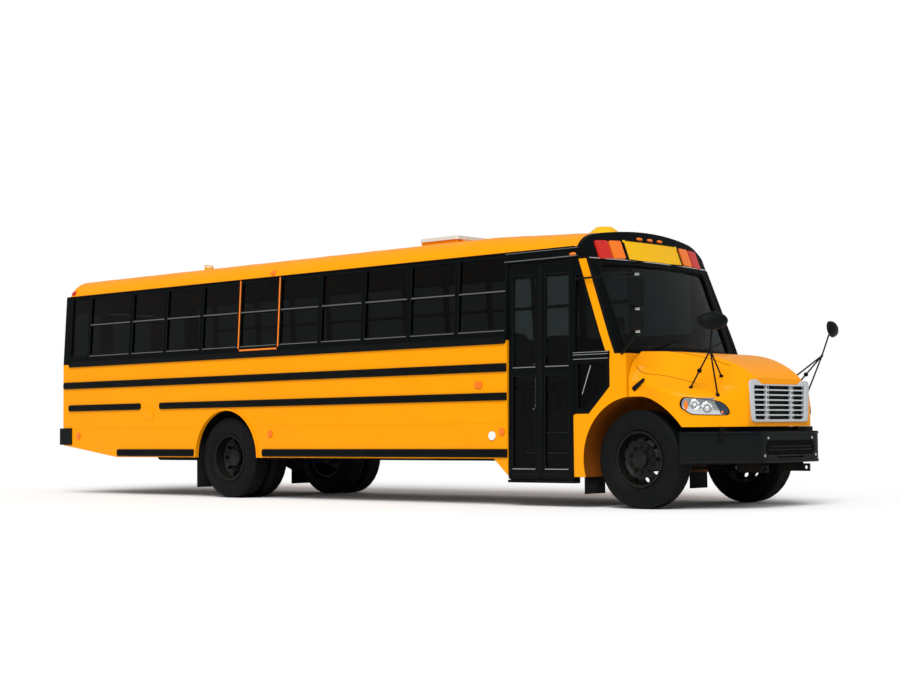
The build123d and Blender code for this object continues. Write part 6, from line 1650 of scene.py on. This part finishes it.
@dataclass
class Mirrors(Assembly):
    """Panes, rims and clamps of the side mirrors, and the mirrors on the hood."""

    ahead: float = 0.190
    driver_back: float = 0.875
    out: float = 0.150
    head_back: float = 0.050
    # Columns: bottom, top, half width, bulge
    heads: tuple = ((2.130, 2.450, 0.105, 0.0), (1.890, 2.090, 0.100, 0.010))
    corner: float = 0.04
    clamps: tuple = (2.475, 2.110, 1.872)
    tilt: float = 0.15
    flatness: float = 0.57
    # Feet of a stand: columns are ahead of the front axle, half width, height
    feet: tuple = ((0.560, 1.000, 1.230), (0.840, 0.860, 1.150), (0.760, 0.640, 1.350))
    # Place of the driver's head, along the bus and to its left
    driver: tuple = (3.400, 0.560)
    # Rows of a hood mirror: columns are half width, place along its axis
    shell: tuple = (
        (0.165, 0.0), (0.161, 0.020), (0.143, 0.043), (0.112, 0.060), (0.072, 0.071), (0.030, 0.075),
    )  # fmt: skip
    bowl: tuple = ((0.158, -0.001), (0.153, -0.006), (0.095, -0.012), (0.030, -0.015))

    def panel(self, shop: Shop, x: float, y: float, head: tuple, shrink: float, lift: float) -> None:
        """Add one pane behind a mirror head.

        Args:
            shop: Piece that takes the pane.
            x: Rear face of the head.
            y: Middle of the head.
            head: Bottom, top, half width and bulge.
            shrink: How far the pane stays inside the head's edge.
            lift: How far it stands behind the rear face.
        """
        low, high, half, bulge = head
        middle = (low + high) / 2
        edge = rounded(half - shrink, (high - low) / 2 - shrink, self.corner, 5)
        rows = []
        # Columns: share of the pane's size, share of its lift
        for share, depth in ((1.0, 0.0), (1.0, 0.6), (0.97, 1.0), (0.6, 1.0), (0.2, 1.0)):
            swell = bulge * (1 - share) + lift * depth
            rows.append([(x - swell, y + a * share, middle + b * share) for a, b in edge])
        shop.loft(rows)

    def side_heads(self) -> None:
        """Add the rims and glasses of the flat and convex side mirrors."""
        axle = self.layout.front_axle
        with (
            self.piece("mirror_clamps", "bright_plate", Body.CHASSIS, "bare_steel") as clamps,
            self.piece("mirror_panes", "mirror_glass", Body.CHASSIS, "lamp_chrome") as glass,
            self.piece("mirror_rims", "seal_rubber", Body.CHASSIS, "dark_plastic") as rims,
        ):
            for side, post in zip(SIDES, (axle - self.driver_back, axle + self.ahead)):
                y, face = side * (self.layout.half + self.out), post - self.head_back
                for head in self.heads:
                    self.panel(rims, face + 0.001, y, head, 0.002, 0.004)
                    self.panel(glass, face - 0.002, y, head, 0.010, 0.003)
                for z in self.clamps:
                    corner = (post - 0.016, y - 0.018, z - 0.014)
                    clamps.slab(corner, (post + 0.018, y + 0.018, z + 0.014), 0.004)
                    clamps.stud((post + 0.017, y, z), AHEAD, 0.006, 0.008, 6)

    def stand(self, shop: Shop, hood: Skin, side: int, head: Vector) -> None:
        """Add the three legs and the stem of one hood mirror."""
        bar = 0.009
        apex = self.layout.ahead(0.922, side * (self.layout.half - 0.101), 1.655)
        for i, (ahead, y, z) in enumerate(self.feet):
            foot = self.layout.ahead(ahead, side * y, z)
            met = hood.hit(apex, foot - apex)
            if met:
                foot = met[0]
                shop.stud(foot, met[1], 0.022, 0.014, 16)
            shop.tube([apex, foot], bar)
            if i == 0:
                shop.ball(apex.lerp(foot, 0.55), 0.026)
        shop.ball(apex, 0.016)
        shop.tube([apex, head], bar)

    def cross_view(self, hood: Skin) -> None:
        """Add the stands, shells and glasses of the hood mirrors, turned to the driver."""
        with (
            self.piece("cross_view_glass", "mirror_glass", Body.HOOD) as glass,
            self.piece("hood_mirror_stands", "dark_plastic", Body.HOOD, "dark_plastic") as stands,
        ):
            for side in SIDES:
                head = self.layout.ahead(1.0, side * (self.layout.half - 0.033), 1.951)
                self.stand(stands, hood, side, head)
                away = Vector((head.x - self.driver[0], head.y - self.driver[1], 0.0)).normalized()
                out = (away + Vector((0.0, 0.0, self.tilt))).normalized()
                across = Vector((-out.y, out.x, 0.0)).normalized()
                up = out.cross(across)
                for shop, levels in ((stands, self.shell), (glass, self.bowl)):
                    rows = []
                    for wide, lift in levels:
                        ring = oval(wide, wide * self.flatness, 40)
                        rows.append([head + across * a + up * b + out * lift for a, b in ring])
                    shop.loft(rows)
        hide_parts("hood_mirrors")

    def build(self) -> None:
        """Build the mirrors' pieces."""
        self.side_heads()
        self.cross_view(Skin(self.nodes["hood_shell"]))


@dataclass
class Cabin(Assembly):
    """Padded benches and the driver's seat."""

    rows: int = 10
    bench: float = 0.940
    depth: float = 0.400
    cushion: tuple = (1.380, 1.500)
    back: tuple = (1.420, 2.010)
    back_skin: float = 0.090
    back_gap: float = 0.015
    channels: int = 5
    steps: int = 22
    around: int = 28
    squareness: float = 0.36
    smooth: float = 60.0

    def pad(self, shop: Shop, low: Point, high: Point, crown: float) -> None:
        """Add a stuffed pad that runs across the bus, with pulled-in sides and sewn channels.

        Args:
            shop: Piece that takes the pad.
            low: Lowest corner of its room.
            high: Highest corner of its room.
            crown: How far its faces swell, in metres.
        """
        wide, run, tall = ((high[i] - low[i]) / 2 for i in range(3))
        x, y, z = ((high[i] + low[i]) / 2 for i in range(3))
        rows = []
        for i in range(self.steps + 1):
            share = math.cos(math.pi * i / self.steps)
            close = max(0.02, (1 - abs(share) ** 7) ** (1 / 5))
            seam = abs(math.cos(self.channels * math.pi * (share + 1) / 2)) ** 10
            pull = crown * (0.35 * seam + abs(share) ** 2 * 0.8)
            row = []
            for c, s in oval(1.0, 1.0, self.around):
                a = math.copysign(abs(c) ** self.squareness, c)
                b = math.copysign(abs(s) ** self.squareness, s)
                across = a * (wide - pull * (1 - abs(b) * 0.6)) * close
                along = share * run * (1 - 0.012 * (abs(a) * abs(b)))
                upward = b * (tall - pull * (1 - abs(a) * 0.6)) * close
                row.append((x + across, y + along, z + upward))
            rows.append(row)
        shop.loft(rows)

    def benches(self) -> None:
        """Add every passenger bench."""
        low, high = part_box("seat_pads")
        first = low.x + self.back_skin + self.back_gap
        pitch = (high.x - self.depth - first) / (self.rows - 1)
        with (
            self.piece("bench_backs", "seat_vinyl", Body.CHASSIS, "seat_cover", self.smooth) as backs,
            self.piece("bench_cushions", "seat_vinyl", Body.CHASSIS, "seat_cover", self.smooth) as seats,
        ):
            for i in range(self.rows):
                rear = first + i * pitch
                front = rear - self.back_gap
                for side in SIDES:
                    a, b = sorted((side * (high.y - self.bench), side * high.y))
                    foot, top = self.cushion
                    self.pad(seats, (rear, a, foot), (rear + self.depth, b, top), 0.016)
                    foot, top = self.back
                    self.pad(backs, (front - self.back_skin, a, foot), (front, b, top), 0.014)
        for shop in (seats, backs):
            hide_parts("seat_pads")

    def driver(self) -> None:
        """Add the driver's seat as pads on a pedestal."""
        low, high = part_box("driver_seat")
        right, left = low.y, high.y
        with self.piece("driver_pads", "seat_vinyl", Body.CHASSIS, "seat_cover", self.smooth) as seat:
            # Columns: rear, front, set-in of the sides, bottom, top, crown
            for rear, front, inset, foot, top, crown in (
                (low.x + 0.09, high.x, 0.0, low.z + 0.33, low.z + 0.45, 0.02),
                (low.x, low.x + 0.11, 0.01, low.z + 0.40, low.z + 0.96, 0.016),
                (low.x + 0.01, low.x + 0.10, 0.12, low.z + 0.97, high.z, 0.014),
            ):
                self.pad(seat, (rear, right + inset, foot), (front, left - inset, top), crown)
        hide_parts("driver_seat")
        x, y = low.x + 0.33, (right + left) / 2
        with self.piece("driver_pedestal", "dark_plastic") as stand:
            # Columns: half length, half width, bottom, top, rounding
            for a, b, foot, top, edge in (
                (0.16, 0.16, 0.0, 0.05, 0.01),
                (0.09, 0.09, 0.04, 0.29, 0.02),
                (0.18, 0.19, 0.28, 0.335, 0.012),
            ):
                stand.slab((x - a, y - b, low.z + foot), (x + a, y + b, low.z + top), edge)
        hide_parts("driver_seat")

    def build(self) -> None:
        """Build what shows through the glass."""
        self.benches()
        self.driver()


@dataclass
class Roof(Assembly):
    """Roof seams, the lamps along its edges, and the hatch's ribs and handle."""

    bow_pitch: float = 0.7733
    # Middle of the hatch along the bus, and how near to it a seam may come
    hatch: tuple = (0.995, 0.36)
    lamp_height: float = 2.918

    def seams(self, skin: Skin) -> None:
        """Add the seams over the roof bows, left out beside the hatch."""
        middle, reach = self.hatch
        with self.piece("roof_seams", "yellow_enamel", Body.CHASSIS, "yellow_paint") as shop:
            x = self.layout.body_rear + 0.60
            while x < self.layout.door_front - 0.05:
                if abs(x - middle) > reach:
                    points = [(x, y, 4.0) for y in (-1.10, -0.6, 0.0, 0.6, 1.10)]
                    skin.bead(shop, points, DOWN, -0.0015, 0.004, 10)
                x += self.bow_pitch

    def markers(self, skin: Skin) -> None:
        """Add the red and amber lamps along both edges of the roof."""
        rear, front = self.layout.bays()[self.layout.exit_bay]
        for name, x, lens in (
            ("rear", self.layout.body_rear + 0.155, "red_lens"),
            ("middle", rear + 0.8 * (front - rear), "amber_lens"),
        ):
            with self.piece(f"roof_markers_{name}", lens, Body.CHASSIS, lens) as shop:
                for side in SIDES:
                    spots = [(x + a, side * 2.0, self.lamp_height + b) for a, b in oval(0.050, 0.032)]
                    skin.cover(shop, spots, (0, -side, 0), 0.010, 0.014)

    def lid(self) -> None:
        """Add the ribs and the handle of the hatch."""
        low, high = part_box("roof_hatch")
        rear, front = low.x + 0.06, low.x + 0.59
        with self.piece("hatch_ribs", "white_enamel", Body.HATCH, "white_paint") as shop:
            for share in (0.25, 0.5, 0.75):
                y = low.y + (high.y - low.y) * share
                shop.slab((rear, y - 0.012, high.z - 0.004), (front, y + 0.012, high.z + 0.008), 0.003)
            corner = (low.x - 0.01, -0.09, high.z - 0.035)
            shop.slab(corner, (low.x + 0.03, 0.09, high.z - 0.018), 0.004)

    def build(self) -> None:
        """Build the roof's small pieces."""
        skin = Skin(self.nodes["roof"])
        self.seams(skin)
        self.markers(skin)
        self.lid()


@dataclass
class Studio:
    """Pale floor, soft lights and the camera of the photograph."""

    layout: Layout
    eye: tuple = (10.839, -15.947, 0.836)
    heading: float = 42.41
    pitch: float = 3.16
    roll: float = -0.55
    lens: float = 68.56
    sensor: float = 36.0
    far: float = 200.0
    floor_size: float = 90.0
    surround: float = 0.42
    sun_power: float = 2.75
    sun_spread: float = 40.0
    sun_from: tuple = (0.35, -0.55, 0.76)
    fill_place: tuple = (8.0, -16.0, 6.0)
    fill_target: tuple = (0.5, -1.2, 1.4)
    fill_size: tuple = (10.0, 4.0)
    fill_power: float = 260.0

    def camera(self) -> None:
        """Place the camera where the photograph was taken from."""
        turn, rise, lean = (math.radians(v) for v in (self.heading, self.pitch, self.roll))
        ahead = Vector((-math.sin(turn), math.cos(turn), 0.0))
        right = Vector((math.cos(turn), math.sin(turn), 0.0))
        up = Vector(UP)
        look = ahead * math.cos(rise) + up * math.sin(rise)
        top = up * math.cos(rise) - ahead * math.sin(rise)
        across = right * math.cos(lean) + top * math.sin(lean)
        upward = top * math.cos(lean) - right * math.sin(lean)
        data = bpy.data.cameras.new("camera")
        data.sensor_width = self.sensor
        data.lens = self.lens
        data.clip_end = self.far
        camera = bpy.data.objects.new("camera", data)
        place = Vector(self.eye) + Vector((self.layout.front_axle, 0.0, 0.0))
        axes = Matrix((across, upward, -look)).transposed()
        camera.matrix_world = Matrix.Translation(place) @ axes.to_4x4()
        bpy.context.scene.collection.objects.link(camera)
        bpy.context.scene.camera = camera

    def light(self, name: str, kind: str, place: Point, heading: Vector, settings: dict) -> None:
        """Add one soft light.

        Args:
            name: Name of the light.
            kind: Blender's type of light.
            place: Where it stands.
            heading: Where it shines to.
            settings: Its shape, size and power.
        """
        data = bpy.data.lights.new(name, kind)
        for key, value in settings.items():
            setattr(data, key, value)
        light = bpy.data.objects.new(name, data)
        light.location = place
        light.rotation_euler = heading.to_track_quat("-Z", "Y").to_euler()
        bpy.context.scene.collection.objects.link(light)

    def lights(self) -> None:
        """Add a wide sun that lights the floor evenly, and a soft box for the right side."""
        sun = {"energy": self.sun_power, "angle": math.radians(self.sun_spread)}
        self.light("soft_sun", "SUN", (0, 0, 0), -Vector(self.sun_from), sun)
        wide, high = self.fill_size
        box = {"shape": "RECTANGLE", "size": wide, "size_y": high, "energy": self.fill_power}
        heading = Vector(self.fill_target) - Vector(self.fill_place)
        self.light("side_fill", "AREA", self.fill_place, heading, box)

    def backdrop(self) -> bpy.types.World:
        """Return a white surround that shines less on the bus than it shows."""
        sheet = Sheet(bpy.data.worlds.new("studio_world"))
        seen = sheet.node("ShaderNodeLightPath", {}, {}, "Is Camera Ray")
        sheet.use("Color", (1.0, 1.0, 1.0))
        sheet.use("Strength", seen * (1.0 - self.surround) + self.surround)
        return sheet.owner

    def floor(self) -> None:
        """Lay a wide pale floor."""
        sheet = Sheet(bpy.data.materials.new("studio_floor"))
        tone = sheet.blend(sheet.noise(0.4, 3.0) * 0.2, (0.95, 0.95, 0.95), (0.92, 0.92, 0.92))
        sheet.use("Base Color", tone)
        sheet.use("Roughness", 0.9)
        sheet.use("Specular IOR Level", 0.05)
        mesh = bmesh.new()
        bmesh.ops.create_grid(mesh, x_segments=1, y_segments=1, size=self.floor_size)
        data = bpy.data.meshes.new("studio_floor")
        mesh.to_mesh(data)
        mesh.free()
        data.materials.append(sheet.owner)
        floor = bpy.data.objects.new("studio_floor", data)
        bpy.context.scene.collection.objects.link(floor)

    def build(self) -> None:
        """Build the whole studio."""
        scene = bpy.context.scene
        scene.view_settings.view_transform = "Standard"
        scene.world = self.backdrop()
        self.floor()
        self.lights()
        self.camera()


def main() -> None:
    """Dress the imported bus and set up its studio."""
    logging.basicConfig(level=logging.INFO, format="%(name)s %(message)s")
    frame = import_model()
    nodes = frame["nodes"]
    layout = Layout.read()
    finishes = Finishes()
    finishes.dress(nodes)
    finishes.paint_hollow_shade(nodes, layout)
    for kind in (Wheels, BodySides, Entrance, FrontCap, Hood, Bumpers, RearEnd, Mirrors, Cabin, Roof):
        kind(layout, finishes, nodes).build()
    Studio(layout).build()


if __name__ == "__main__":
    main()
